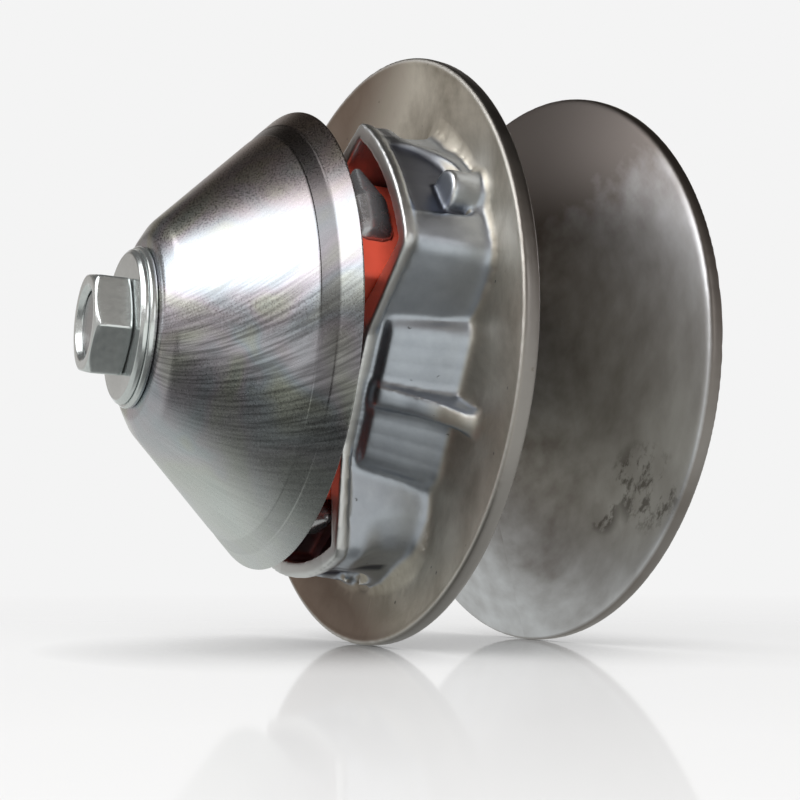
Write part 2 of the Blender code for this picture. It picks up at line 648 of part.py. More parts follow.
# Three wedges and the steel weight in each
wedge_top = cone_at(WEDGE_IN) - SHEET_AXIAL - WEDGE_FLAT
slope_in = WEDGE_IN - 2 * OVERCUT
slope_out = CONE_RIM_R + OVERCUT
slope_tool = turned("wedge_slope", [
    (cone_at(slope_out) - SHEET_AXIAL - WEDGE_CLEAR, slope_out), (cone_at(slope_in) + OVERCUT, slope_out),
    (cone_at(slope_in) + OVERCUT, slope_in), (cone_at(slope_in) - SHEET_AXIAL - WEDGE_CLEAR, slope_in)])
arc_r = WEDGE_OUT + SWING
sole_in = WEDGE_IN - OVERCUT
sole_out = CHAMBER_R + OVERCUT
half = WEIGHT_LENGTH / 2
for k, angle in enumerate(LOBE_ANGLES):
    loop = [(WEDGE_IN, -WEDGE_HALF)]
    for t in range(-4, 5):
        v = WEDGE_HALF * t / 4
        loop.append((math.sqrt(arc_r ** 2 - v ** 2) - SWING, v))
    loop.append((WEDGE_IN, WEDGE_HALF))
    wedge = slab(f"wedge_{k + 1}", rounded(loop, 2 * EASE, 1), RAMP_FOOT - OVERCUT, wedge_top, red, angle)
    cut(wedge, slope_tool)
    sole = fin(f"wedge_sole_{k + 1}", [
        (ramp_at(sole_in) + GAP, sole_in), (ramp_at(sole_out) + GAP, sole_out),
        (RAMP_FOOT - 4 * OVERCUT, sole_out), (RAMP_FOOT - 4 * OVERCUT, sole_in)],
        WEDGE_HALF + OVERCUT, angle)
    cut(wedge, sole)
    a = math.radians(angle)
    side = Matrix((
        (-1.0, 0.0, 0.0, along(WEIGHT_S)),
        (0.0, math.sin(a), math.cos(a), (-WEIGHT_PLACE * math.sin(a) - WEIGHT_SHIFT * math.cos(a)) * MM),
        (0.0, -math.cos(a), math.sin(a), (WEIGHT_PLACE * math.cos(a) - WEIGHT_SHIFT * math.sin(a)) * MM),
        (0.0, 0.0, 0.0, 1.0),
    ))
    for label, grow, mat in (("weight", 0.0, dark), ("weight_pocket", GAP, None)):
        full = WEIGHT_R + grow
        profile = [(half + grow, 0.0), (half + grow, WEIGHT_TIP_R + grow),
                   (half - WEIGHT_POINT + grow, full), (WEIGHT_ROUND - half - grow, full),
                   (0.3 * WEIGHT_ROUND - half - grow, full - 0.4 * WEIGHT_ROUND),
                   (-half - grow, full - 1.1 * WEIGHT_ROUND), (-half - grow, 0.0)]
        mesh = bpy.data.meshes.new(f"{label}_{k + 1}")
        mesh.from_pydata([(r * MM, 0.0, z * MM) for z, r in profile], [(i, i + 1) for i in range(6)], [])
        slug = spun(place(f"{label}_{k + 1}", mesh, mat, side), FINE_STEPS // 2)
        if mat is None:
            cut(wedge, slug)
print("parts", len(parts.objects))
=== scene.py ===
# %% [markdown]
# A drive pulley of a belt variator, dressed for its photograph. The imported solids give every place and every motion.
# This lesson lays finer meshes over them, gives each surface a finish, and sets a camera and soft light.

# %% Load the solids
import math

import bmesh
import bpy
from mathutils import Matrix, Vector


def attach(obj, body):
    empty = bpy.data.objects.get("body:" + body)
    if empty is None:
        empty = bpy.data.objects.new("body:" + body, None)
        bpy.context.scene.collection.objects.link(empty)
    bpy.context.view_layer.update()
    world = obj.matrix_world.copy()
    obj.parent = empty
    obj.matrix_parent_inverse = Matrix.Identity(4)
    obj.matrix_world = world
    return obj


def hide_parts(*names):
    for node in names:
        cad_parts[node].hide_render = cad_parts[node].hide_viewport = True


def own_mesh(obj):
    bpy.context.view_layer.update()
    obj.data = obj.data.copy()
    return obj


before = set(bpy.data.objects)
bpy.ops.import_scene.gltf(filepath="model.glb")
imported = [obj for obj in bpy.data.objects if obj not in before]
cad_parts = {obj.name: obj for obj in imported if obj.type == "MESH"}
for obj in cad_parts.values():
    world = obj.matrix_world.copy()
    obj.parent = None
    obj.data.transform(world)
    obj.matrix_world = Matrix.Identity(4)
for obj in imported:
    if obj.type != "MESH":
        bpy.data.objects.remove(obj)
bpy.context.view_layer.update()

# %% [markdown]
# The pulley axis lies along X. Makers measure such a stack along its axis, so places here are millimetres from the
# back rim of the fixed sheave towards the nut, with a radius and an angle from straight up towards the viewer. Three
# lobes of the cup stand round the axis. Points could be typed as X, Y and Z, but then no number would mean anything.

# %% One way to say where things are
MM = 0.001
HUB_REAR = -8.0
SHEAVE_R = 90.0
LOBES = (57.0, 177.0, 297.0)


def at(s, r, turn):
    """World point of an axial place and radius in millimetres and an angle in radians."""
    return Vector((-(s - HUB_REAR), -r * math.sin(turn), r * math.cos(turn))) * MM


def along(s):
    """World X of an axial place."""
    return at(s, 0.0, 0.0).x


def show(name, mesh):
    """Put a mesh into the scene as a piece."""
    piece = bpy.data.objects.new(name, mesh)
    bpy.context.scene.collection.objects.link(piece)
    return piece


print("the back rim is at X", round(along(0.0), 4), "and the hub's rear at X", round(along(HUB_REAR), 4))

# %% [markdown]
# The photograph was taken from low down, just above the table, with the nut towards the viewer on the left. A camera
# could be set by eye. Here it was fitted to the rims of both sheaves, which gives its place, its lens and a level
# horizon, so each edge falls where it should.

# %% Camera
CAMERA_PLACE = (-0.22289, -0.30342, -0.06826)
CAMERA_LOOK = (0.4694, 0.8694, 0.1545)

camera = bpy.data.objects.new("camera", bpy.data.cameras.new("camera"))
bpy.context.scene.collection.objects.link(camera)
camera.location = CAMERA_PLACE
camera.rotation_euler = Vector(CAMERA_LOOK).to_track_quat("-Z", "Y").to_euler()
camera.data.lens = 49.5
camera.data.sensor_width = 36.0
camera.data.clip_start = 0.01
bpy.context.scene.camera = camera
bpy.context.scene.view_settings.view_transform = "Standard"
print("camera to the hub:", round(camera.location.length * 1000), "mm")

# %% [markdown]
# Colours are picked on a screen as sRGB hex codes, but light adds up in linear values, so one function turns the
# first into the second. Another turns a real size in millimetres into the scale of a texture.

# %% Colours and sizes


def hue(code):
    """Linear colour of an sRGB hex code."""
    values = [int(code[i:i + 2], 16) / 255 for i in (1, 3, 5)]
    return tuple(v / 12.92 if v <= 0.04045 else ((v + 0.055) / 1.055) ** 2.4 for v in values) + (1.0,)


def per_mm(size):
    """Texture scale that gives features of this many millimetres."""
    return 1.0 / (size * MM)


print("white is", hue("#FFFFFF")[:3])

# %% [markdown]
# Every finish below is a node graph. Nodes could be placed by hand in the editor, but a script can be read and run
# again. One small function adds a node with its settings and links, and another starts a material with its shader.

# %% Node helpers
RGBA_A, RGBA_B, RGBA_OUT = 6, 7, 2


def add(tree, kind, links=None, values=None, **settings):
    """Add a node, set its fields and sockets, and link its inputs."""
    node = tree.nodes.new(kind)
    for field, value in settings.items():
        setattr(node, field, value)
    for socket, value in (values or {}).items():
        node.inputs[socket].default_value = value
    for socket, source in (links or {}).items():
        tree.links.new(source, node.inputs[socket])
    return node


def finish(name, color, metallic, roughness):
    """A material with its shader, ready for a pattern."""
    mat = bpy.data.materials.new(name)
    mat.use_nodes = True
    shader = mat.node_tree.nodes["Principled BSDF"]
    shader.inputs["Base Color"].default_value = hue(color)
    shader.inputs["Metallic"].default_value = metallic
    shader.inputs["Roughness"].default_value = roughness
    return mat, mat.node_tree, shader


print("a mix of two colours takes them at sockets", RGBA_A, "and", RGBA_B)

# %% [markdown]
# A turned part wears in rings and arcs. So a graph can have the distance from the axis and the angle round it, worked
# out from the place on the piece. Unwrapping would give the same for a plain disc, but not for a cup with lobes.

# %% Place on a piece


def polar(tree):
    """Sockets for the place on a piece: as a vector, along each axis, and by radius and angle about X."""
    spot = add(tree, "ShaderNodeTexCoord").outputs["Object"]
    cut = add(tree, "ShaderNodeSeparateXYZ", {0: spot}).outputs
    section = add(tree, "ShaderNodeCombineXYZ", {"Y": cut["Y"], "Z": cut["Z"]}).outputs[0]
    radius = add(tree, "ShaderNodeVectorMath", {0: section}, operation="LENGTH").outputs["Value"]
    angle = add(tree, "ShaderNodeMath", {0: cut["Y"], 1: cut["Z"]}, operation="ARCTAN2").outputs[0]
    return {"spot": spot, "axial": cut["X"], "y": cut["Y"], "z": cut["Z"], "section": section,
            "radius": radius, "angle": angle}


print("rings and arcs run about X")

# %% [markdown]
# Both sheaves are die castings of aluminium. The back of the movable disc has gone warm and smoky with heat and
# handling, while the cup keeps the cooler, bluish skin of the mould. Painted masks could hold both skins, but they
# would need unwrapping, so clouds of noise in space make them: wide ones for smoke and fine ones for the mould.

# %% Cast aluminium: warm disc and cool cup
# Die-cast aluminium gives the eye a soft grey sheen with cloudy stains, neither mirror nor matt.
SMOKE_MM, SPECK_MM = 30, 4

cast_skin, tree, shader = finish("cast aluminium, tarnished skin", "#A3A09C", 1.0, 0.4)
on = polar(tree)
smoke = add(tree, "ShaderNodeTexNoise", {"Vector": on["spot"]},
            {"Scale": per_mm(SMOKE_MM), "Detail": 6.0, "Roughness": 0.62, "Distortion": 0.4})
speck = add(tree, "ShaderNodeTexNoise", {"Vector": on["spot"]},
            {"Scale": per_mm(SPECK_MM), "Detail": 4.0, "Roughness": 0.6})
cloudy = add(tree, "ShaderNodeMapRange", {"Value": smoke.outputs["Fac"]}, {"From Min": 0.34, "From Max": 0.62})
warm = add(tree, "ShaderNodeMix", {0: cloudy.outputs[0]},
           {RGBA_A: hue("#ABA497"), RGBA_B: hue("#E0DBCF")}, data_type="RGBA")
cool = add(tree, "ShaderNodeMix", {0: speck.outputs["Fac"]},
           {RGBA_A: hue("#A6ACB6"), RGBA_B: hue("#C2C8D0")}, data_type="RGBA")
print("clouds of", SMOKE_MM, "mm, specks of", SPECK_MM, "mm")

# %% [markdown]
# At its top and foot the disc is darker and browner, most on the side away from the viewer. A straight edge would look
# painted on, so the smoke itself shifts the border of the brown.

# %% Brown top and foot of the disc
BROWN_LEAN, BROWN_RAGGED = 0.6, 40 * MM

tall = add(tree, "ShaderNodeMath", {0: on["z"]}, operation="ABSOLUTE")
lean = add(tree, "ShaderNodeMath", {0: on["y"], 2: tall.outputs[0]}, {1: BROWN_LEAN}, operation="MULTIPLY_ADD")
ragged = add(tree, "ShaderNodeMath", {0: smoke.outputs["Fac"], 2: lean.outputs[0]}, {1: BROWN_RAGGED},
             operation="MULTIPLY_ADD")
brown_share = add(tree, "ShaderNodeMapRange", {"Value": ragged.outputs[0]},
             {"From Min": 82 * MM, "From Max": 104 * MM, "To Max": 0.85})
brown_disc = add(tree, "ShaderNodeMix", {0: brown_share.outputs[0], RGBA_A: warm.outputs[RGBA_OUT]},
            {RGBA_B: hue("#7A675B")}, data_type="RGBA")
print("the scorch wanders by", round(BROWN_RAGGED / MM), "mm")

# %% [markdown]
# The warm skin is on the disc and the cool one on the cup's walls. A cut at one axial place would leave a hard line
# on the walls, so the way a surface faces decides: the disc faces along the axis and the walls face across it.

# %% Where the disc ends and the cup starts
low = add(tree, "ShaderNodeMapRange", {"Value": on["axial"]},
          {"From Min": along(71), "From Max": along(67)}, interpolation_type="SMOOTHSTEP")
normal = add(tree, "ShaderNodeSeparateXYZ", {0: add(tree, "ShaderNodeTexCoord").outputs["Normal"]})
facing = add(tree, "ShaderNodeMath", {0: normal.outputs["X"]}, operation="ABSOLUTE")
flat = add(tree, "ShaderNodeMapRange", {"Value": facing.outputs[0]},
           {"From Min": 0.5, "From Max": 0.92}, interpolation_type="SMOOTHSTEP")
disc = add(tree, "ShaderNodeMath", {0: low.outputs[0], 1: flat.outputs[0]}, operation="MULTIPLY")
skin = add(tree, "ShaderNodeMix", {0: disc.outputs[0], RGBA_A: cool.outputs[RGBA_OUT],
                                   RGBA_B: brown_disc.outputs[RGBA_OUT]}, data_type="RGBA")
print("the cup's skin starts at X", round(along(71), 4))

# %% [markdown]
# The floor of the arched pocket on the outside of each lobe lies in shadow, so it is darkened to a bluish grey as
# painted shade. Its floor is a flat that lies closer to the axis than the lobe's own skin, so a height measured square
# to the lobe finds it in all three lobes at once.

# %% Painted shade in the pockets of the lobes
THIRD = math.radians(60)
FLOOR_U, FLOOR_HALF = 68.0, math.radians(12.4)

over = add(tree, "ShaderNodeMath", {0: on["angle"]}, {1: -1.0, 2: -math.radians(LOBES[0])}, operation="MULTIPLY_ADD")
off = add(tree, "ShaderNodeMath", {0: over.outputs[0]}, {1: THIRD, 2: -THIRD}, operation="WRAP")
cosine = add(tree, "ShaderNodeMath", {0: off.outputs[0]}, operation="COSINE")
square = add(tree, "ShaderNodeMath", {0: on["radius"], 1: cosine.outputs[0]}, operation="MULTIPLY")
sunk = add(tree, "ShaderNodeMapRange", {"Value": square.outputs[0]},
           {"From Min": FLOOR_U * MM, "From Max": (FLOOR_U + 0.9) * MM, "To Min": 1.0, "To Max": 0.0})
aside = add(tree, "ShaderNodeMath", {0: off.outputs[0]}, operation="ABSOLUTE")
narrow = add(tree, "ShaderNodeMapRange", {"Value": aside.outputs[0]},
             {"From Min": FLOOR_HALF, "From Max": FLOOR_HALF + math.radians(1), "To Min": 1.0, "To Max": 0.0})
front = add(tree, "ShaderNodeMapRange", {"Value": on["axial"]},
            {"From Min": along(67), "From Max": along(65), "To Min": 1.0, "To Max": 0.0})
pocket = add(tree, "ShaderNodeMath", {0: sunk.outputs[0], 1: narrow.outputs[0]}, operation="MULTIPLY")
# The floor of each pocket is darkened here as painted shade.
pocket_shade = add(tree, "ShaderNodeMath", {0: pocket.outputs[0], 1: front.outputs[0]}, operation="MULTIPLY")
pocket_shaded = add(tree, "ShaderNodeMix", {0: pocket_shade.outputs[0], RGBA_A: skin.outputs[RGBA_OUT]},
            {RGBA_B: hue("#5C606C")}, data_type="RGBA")
print("pocket floors at", FLOOR_U, "mm from the axis")

# %% [markdown]
# A casting has a few pits where gas was caught. Pits could be real holes, but at half a millimetre they are drawn only
# as dark dots, a painted shade of the holes. Its edges and lip are lightened, partly as wear from handling and partly
# as painted highlight along the fillets. The mesh's own curvature finds the edges.

# %% Pits as painted shade, and edges lightened by wear and painted highlight
PIT_MM = 7.0

pits = add(tree, "ShaderNodeTexVoronoi", {"Vector": on["spot"]}, {"Scale": per_mm(PIT_MM), "Randomness": 1.0})
dots = add(tree, "ShaderNodeMapRange", {"Value": pits.outputs["Distance"]},
           {"From Min": 0.05, "From Max": 0.1, "To Min": 0.35, "To Max": 1.0})
rare = add(tree, "ShaderNodeMath", {0: speck.outputs["Fac"]}, {1: 0.47}, operation="GREATER_THAN")
few = add(tree, "ShaderNodeMath", {0: dots.outputs[0], 1: rare.outputs[0]}, operation="MAXIMUM")
# Pits darkened as painted shade of small holes.
with_pit_shade = add(tree, "ShaderNodeMix", {0: few.outputs[0], RGBA_B: pocket_shaded.outputs[RGBA_OUT]},
             {RGBA_A: hue("#3A3632")}, data_type="RGBA")
bend = add(tree, "ShaderNodeNewGeometry").outputs["Pointiness"]
edge = add(tree, "ShaderNodeMapRange", {"Value": bend},
           {"From Min": 0.515, "From Max": 0.56}, interpolation_type="SMOOTHSTEP")
lip = add(tree, "ShaderNodeMapRange", {"Value": on["axial"]},
          {"From Min": along(82.5), "From Max": along(85), "To Max": 0.75})
# Edges and lip lightened, partly by wear and partly as painted highlight.
wear_and_highlight = add(tree, "ShaderNodeMath", {0: edge.outputs[0], 1: lip.outputs[0]}, operation="MAXIMUM")
rubbed_and_highlit = add(tree, "ShaderNodeMix", {0: wear_and_highlight.outputs[0], RGBA_A: with_pit_shade.outputs[RGBA_OUT]},
             {RGBA_B: hue("#E6E6E4")}, data_type="RGBA")
print("pits about", PIT_MM, "mm apart, most of them hidden")

# %% [markdown]
# The rim of a sheave is turned and then stays dark, because no belt polishes it. The disc is duller than the cup, and
# a fine grain breaks up the gloss of both. The grain is bump alone, since it is far finer than the mesh. Real grain
# is about a tenth of a millimetre, too fine to show, so it is drawn at 0.9 mm.

# %% Dull rim, sheen and grain of the casting
RIM_DARK = (SHEAVE_R - 1.0) * MM, (SHEAVE_R - 0.3) * MM
CAST_GRAIN_MM = 0.9

rim = add(tree, "ShaderNodeMapRange", {"Value": on["radius"]},
          {"From Min": RIM_DARK[0], "From Max": RIM_DARK[1], "To Max": 0.8})
rimmed = add(tree, "ShaderNodeMix", {0: rim.outputs[0], RGBA_A: rubbed_and_highlit.outputs[RGBA_OUT]},
             {RGBA_B: hue("#857D74")}, data_type="RGBA")
tree.links.new(rimmed.outputs[RGBA_OUT], shader.inputs["Base Color"])
cup_sheen = add(tree, "ShaderNodeMapRange", {"Value": smoke.outputs["Fac"]},
                {"From Min": 0.3, "From Max": 0.7, "To Min": 0.44, "To Max": 0.32})
rough = add(tree, "ShaderNodeMath", {0: disc.outputs[0], 2: cup_sheen.outputs[0]}, {1: 0.16},
            operation="MULTIPLY_ADD")
tree.links.new(rough.outputs[0], shader.inputs["Roughness"])
grain = add(tree, "ShaderNodeTexNoise", {"Vector": on["spot"]}, {"Scale": per_mm(CAST_GRAIN_MM), "Detail": 3.0})
bump = add(tree, "ShaderNodeBump", {"Height": grain.outputs["Fac"]}, {"Strength": 0.12, "Distance": 0.1 * MM})
tree.links.new(bump.outputs[0], shader.inputs["Normal"])
print("cast aluminium:", len(tree.nodes), "nodes")

# %% [markdown]
# The belt has run on the face of the fixed sheave, so it is turned metal under a smoky film of rubber dust. The film
# is uneven, with soft clouds and pale wiped arcs. Noise in space gives the clouds, and noise laid out by radius and
# angle, stretched along the angle, gives arcs that run round the axis as a belt does.

# %% Turned aluminium: film and wiped arcs
# Turned and smoked aluminium gives the eye a dark, silky sheen that brightens where the film is thin.
FILM_MM, WIPE_MM, ARC_STRETCH = 52, 6, 0.035

belt_metal, tree, shader = finish("turned aluminium, smoked by the belt", "#8C8884", 1.0, 0.38)
on = polar(tree)
swirl = add(tree, "ShaderNodeCombineXYZ", {"X": on["radius"], "Y": on["angle"]})
arcs = add(tree, "ShaderNodeVectorMath", {0: swirl.outputs[0]}, {1: (1.0, ARC_STRETCH, 1.0)}, operation="MULTIPLY")
film = add(tree, "ShaderNodeTexNoise", {"Vector": on["spot"]},
           {"Scale": per_mm(FILM_MM), "Detail": 6.0, "Roughness": 0.58, "Distortion": 0.8})
wipe = add(tree, "ShaderNodeTexNoise", {"Vector": arcs.outputs[0]}, {"Scale": per_mm(WIPE_MM), "Detail": 5.0})
tone = add(tree, "ShaderNodeMath", {0: wipe.outputs["Fac"], 2: film.outputs["Fac"]}, {1: 0.6},
           operation="MULTIPLY_ADD")
print("film clouds of", FILM_MM, "mm, wipes of", WIPE_MM, "mm")

# %% [markdown]
# The top of the face is darkened as painted shade, and the side towards the viewer and the foot are lightened as
# painted light. Each of these is a gentle slope that is added to the film before it becomes a colour.

# %% Painted shade and light across the belt face
# Painted shade darkens the top, and painted light lifts the near side and the foot.
lit_near_side = add(tree, "ShaderNodeMapRange", {"Value": on["y"]},
            {"From Min": -20 * MM, "From Max": -85 * MM, "To Max": 0.42})
shaded_top = add(tree, "ShaderNodeMapRange", {"Value": on["z"]},
            {"From Min": 20 * MM, "From Max": 75 * MM, "To Max": -0.75})
foot = add(tree, "ShaderNodeMath", {0: on["y"], 2: on["z"]}, {1: -0.5}, operation="MULTIPLY_ADD")
lit_foot = add(tree, "ShaderNodeMapRange", {"Value": foot.outputs[0]},
               {"From Min": -58 * MM, "From Max": -80 * MM, "To Max": 0.3})
level = tone
for slope in (lit_near_side, shaded_top, lit_foot):
    level = add(tree, "ShaderNodeMath", {0: level.outputs[0], 1: slope.outputs[0]}, operation="ADD")
bare = add(tree, "ShaderNodeMapRange", {"Value": level.outputs[0]}, {"From Min": 0.55, "From Max": 1.35})
smoked = add(tree, "ShaderNodeMix", {0: bare.outputs[0]},
             {RGBA_A: hue("#827B77"), RGBA_B: hue("#DCDEE2")}, data_type="RGBA")
# These three slopes are painted shade and painted light.
print("three slopes of dust on the belt face")

# %% [markdown]
# Crumbs of burnt rubber cling to the face in two places. A stain is ragged, so a round patch is cut by fine noise
# that is drawn out along the arcs.

# %% Stains of burnt rubber
BLOTS = ((-64.0, -45.0, 14.0), (-47.5, -51.0, 7.0))
CRUMB_MM = 9

crumbs = add(tree, "ShaderNodeTexNoise", {"Vector": arcs.outputs[0]},
             {"Scale": per_mm(CRUMB_MM), "Detail": 6.0, "Roughness": 0.7})
torn = add(tree, "ShaderNodeMapRange", {"Value": crumbs.outputs["Fac"]}, {"From Min": 0.5, "From Max": 0.56})
for y, z, reach in BLOTS:
    gap = add(tree, "ShaderNodeVectorMath", {0: on["section"]}, {1: (0.0, y * MM, z * MM)}, operation="DISTANCE")
    near = add(tree, "ShaderNodeMapRange", {"Value": gap.outputs["Value"]},
               {"From Min": reach * MM, "From Max": 0.6 * reach * MM, "To Max": 0.65})
    stain = add(tree, "ShaderNodeMath", {0: near.outputs[0], 1: torn.outputs[0]}, operation="MULTIPLY")
    smoked = add(tree, "ShaderNodeMix", {0: stain.outputs[0], RGBA_A: smoked.outputs[RGBA_OUT]},
                 {RGBA_B: hue("#4A423C")}, data_type="RGBA")
print("stains:", len(BLOTS))

# %% [markdown]
# The rim is dark here too, bare metal is a little glossier than film, and the lathe has left faint rings. Real rings
# are about a tenth of a millimetre apart, which is too fine to show, so they are drawn 0.8 mm apart.

# %% Dull rim, sheen and tool rings
RING_MM = 0.8

rim = add(tree, "ShaderNodeMapRange", {"Value": on["radius"]},
          {"From Min": RIM_DARK[0], "From Max": RIM_DARK[1], "To Max": 0.85})
rimmed = add(tree, "ShaderNodeMix", {0: rim.outputs[0], RGBA_A: smoked.outputs[RGBA_OUT]},
             {RGBA_B: hue("#6E665F")}, data_type="RGBA")
tree.links.new(rimmed.outputs[RGBA_OUT], shader.inputs["Base Color"])
rough = add(tree, "ShaderNodeMapRange", {"Value": bare.outputs[0]}, {"To Min": 0.46, "To Max": 0.36})
tree.links.new(rough.outputs[0], shader.inputs["Roughness"])
rings = add(tree, "ShaderNodeTexWave", {"Vector": swirl.outputs[0]},
            {"Scale": per_mm(RING_MM) / 6.283, "Distortion": 0.0})
bump = add(tree, "ShaderNodeBump", {"Height": rings.outputs["Fac"]}, {"Strength": 0.05, "Distance": 0.05 * MM})
tree.links.new(bump.outputs[0], shader.inputs["Normal"])
print("turned aluminium:", len(tree.nodes), "nodes")

# %% [markdown]
# The cone cover is spun from steel sheet, zinc plated and passivated. The plating has a bright grain, and the thin
# passivated film turns faintly green, violet or straw yellow as its thickness changes. Thin-film colour could come
# from the shader, but it would follow the angle of view and hardly show, so a ramp of close tints stands for it.

# %% Zinc plated steel: tints and grain
# Plated spun steel gives the eye a sparkling satin with broad, soft highlights and a breath of colour.
# Its real grain is a few hundredths of a millimetre, too fine to show, so it is drawn at half a millimetre.
TINT_MM, GRAIN_MM = 26, 0.5
VEIL = ((0.3, "#BCC6BE"), (0.42, "#C8C9C0"), (0.5, "#C9C4CC"), (0.58, "#BEC6CE"), (0.7, "#C8CCBE"))

spun_zinc, tree, shader = finish("spun steel, zinc plated and passivated", "#C6C7C4", 1.0, 0.3)
on = polar(tree)
tint = add(tree, "ShaderNodeTexNoise", {"Vector": on["spot"]},
           {"Scale": per_mm(TINT_MM), "Detail": 2.0, "Distortion": 0.5})
grain = add(tree, "ShaderNodeTexNoise", {"Vector": on["spot"]},
            {"Scale": per_mm(GRAIN_MM), "Detail": 2.0, "Roughness": 0.7})
veil = add(tree, "ShaderNodeValToRGB", {"Fac": tint.outputs["Fac"]})
while len(veil.color_ramp.elements) < len(VEIL):
    veil.color_ramp.elements.new(0.5)
for stop, (where, code) in zip(veil.color_ramp.elements, VEIL):
    stop.position = where
    stop.color = hue(code)
fleck = add(tree, "ShaderNodeMapRange", {"Value": grain.outputs["Fac"]},
            {"From Min": 0.3, "From Max": 0.7, "To Min": 0.8, "To Max": 1.0})
print("tints:", len(VEIL), "over", TINT_MM, "mm, grain of", GRAIN_MM, "mm")

# %% [markdown]
# Slanting dark streaks on the near side, darkest close to the rim, are partly handling marks and partly painted
# reflection of a dark surround. The cone is laid flat first, with the arc round it on one axis and the slope on the
# other, so noise can be stretched along any slant.

# %% Streaks on the near side of the cone, partly painted reflection
SLOPE_STRETCH, MIDDLE_R = 1.43, 48.0
STREAK_LONG, STREAK_WIDE, STREAK_TURN = 16 * MM, 0.9 * MM, math.radians(65)
STREAK_SIDE_TURN = math.radians(110)

across = add(tree, "ShaderNodeMath", {0: on["angle"]}, {1: MIDDLE_R * MM}, operation="MULTIPLY")
down = add(tree, "ShaderNodeMath", {0: on["axial"]}, {1: SLOPE_STRETCH}, operation="MULTIPLY")
sheet = add(tree, "ShaderNodeCombineXYZ", {"X": across.outputs[0], "Y": down.outputs[0]})
slanted = add(tree, "ShaderNodeMapping", {"Vector": sheet.outputs[0]},
              {"Rotation": (0.0, 0.0, STREAK_TURN), "Scale": (STREAK_LONG, STREAK_WIDE, 1.0)},
              vector_type="TEXTURE")
streak = add(tree, "ShaderNodeTexNoise", {"Vector": slanted.outputs[0]}, {"Scale": 1.0, "Detail": 3.0})
lines = add(tree, "ShaderNodeMapRange", {"Value": streak.outputs["Fac"]},
            {"From Min": 0.38, "From Max": 0.6, "To Min": 0.38, "To Max": 0.9})
by_rim = add(tree, "ShaderNodeMapRange", {"Value": on["axial"]},
             {"From Min": along(110), "From Max": along(100), "To Min": 1.0, "To Max": 0.5})
# Streaks and rim darkening: partly handling marks, partly painted reflection of a dark surround.
streaks_and_reflection = add(tree, "ShaderNodeMath", {0: lines.outputs[0], 1: by_rim.outputs[0]}, operation="MULTIPLY")
off = add(tree, "ShaderNodeMath", {0: on["angle"]}, {1: STREAK_SIDE_TURN}, operation="ADD")
aside = add(tree, "ShaderNodeMath", {0: off.outputs[0]}, operation="ABSOLUTE")
streaked_side = add(tree, "ShaderNodeMapRange", {"Value": aside.outputs[0]},
              {"From Min": math.radians(12), "From Max": math.radians(38), "To Min": 1.0, "To Max": 0.15})
marks_and_reflection = add(tree, "ShaderNodeMix", {0: streaked_side.outputs[0], 3: streaks_and_reflection.outputs[0]}, {2: 1.0})
print("streaks", round(STREAK_LONG / MM), "by", round(STREAK_WIDE / MM, 1), "mm")

# %% [markdown]
# A dull stripe, where a tool pressed the sheet, runs round the cone near its rim and fades towards the foot. It is a
# band of axial places, darkened, on top of the shallow groove that the mesh has there.

# %% Stripe near the rim of the cone
STRIPE_S, STRIPE_HALF = 103.75, 1.7 * MM

far = add(tree, "ShaderNodeMath", {0: on["axial"]}, {1: along(STRIPE_S)}, operation="SUBTRACT")
near = add(tree, "ShaderNodeMath", {0: far.outputs[0]}, operation="ABSOLUTE")
band = add(tree, "ShaderNodeMapRange", {"Value": near.outputs[0]},
           {"From Min": STRIPE_HALF, "From Max": STRIPE_HALF + 0.5 * MM, "To Min": 0.28, "To Max": 1.0})
faded = add(tree, "ShaderNodeMapRange", {"Value": on["z"]}, {"From Min": 0.0, "From Max": -28 * MM, "To Max": 0.85})
stripe = add(tree, "ShaderNodeMix", {0: faded.outputs[0], 2: band.outputs[0]}, {3: 1.0})
flecked = add(tree, "ShaderNodeMath", {0: fleck.outputs[0], 1: marks_and_reflection.outputs[0]}, operation="MULTIPLY")
bright = add(tree, "ShaderNodeMath", {0: flecked.outputs[0], 1: stripe.outputs[0]}, operation="MULTIPLY")
print("stripe", round(2 * STRIPE_HALF / MM, 1), "mm wide at X", round(along(STRIPE_S), 4))

# %% [markdown]
# The top of the cone is browned as a painted reflection of the dim brownish room, and its foot is paled as a painted
# reflection of the white table. Two gentle slopes by height give both. Grain also shifts the gloss and tilts the
# surface a little, which makes the plating sparkle.

# %% Painted reflections at the top and foot, and gloss of the cone
# Painted reflection: the brown of the room at the top, the white of the table at the foot.
top = add(tree, "ShaderNodeMapRange", {"Value": on["z"]}, {"From Min": 12 * MM, "From Max": 55 * MM, "To Max": 0.85})
brown_reflection = add(tree, "ShaderNodeMix", {0: top.outputs[0], RGBA_A: veil.outputs["Color"]},
              {RGBA_B: hue("#9C8678")}, data_type="RGBA")
foot = add(tree, "ShaderNodeMapRange", {"Value": on["z"]},
           {"From Min": -22 * MM, "From Max": -50 * MM, "To Max": 0.8})
pale_reflection = add(tree, "ShaderNodeMix", {0: foot.outputs[0], RGBA_A: brown_reflection.outputs[RGBA_OUT]},
             {RGBA_B: hue("#F0F5F4")}, data_type="RGBA")
shade = add(tree, "ShaderNodeMix", {0: bright.outputs[0], RGBA_B: pale_reflection.outputs[RGBA_OUT]},
            {RGBA_A: hue("#3C3A3A")}, data_type="RGBA")
tree.links.new(shade.outputs[RGBA_OUT], shader.inputs["Base Color"])
rough = add(tree, "ShaderNodeMapRange", {"Value": grain.outputs["Fac"]},
            {"From Min": 0.3, "From Max": 0.7, "To Min": 0.22, "To Max": 0.36})
tree.links.new(rough.outputs[0], shader.inputs["Roughness"])
bump = add(tree, "ShaderNodeBump", {"Height": grain.outputs["Fac"]}, {"Strength": 0.16, "Distance": 0.05 * MM})
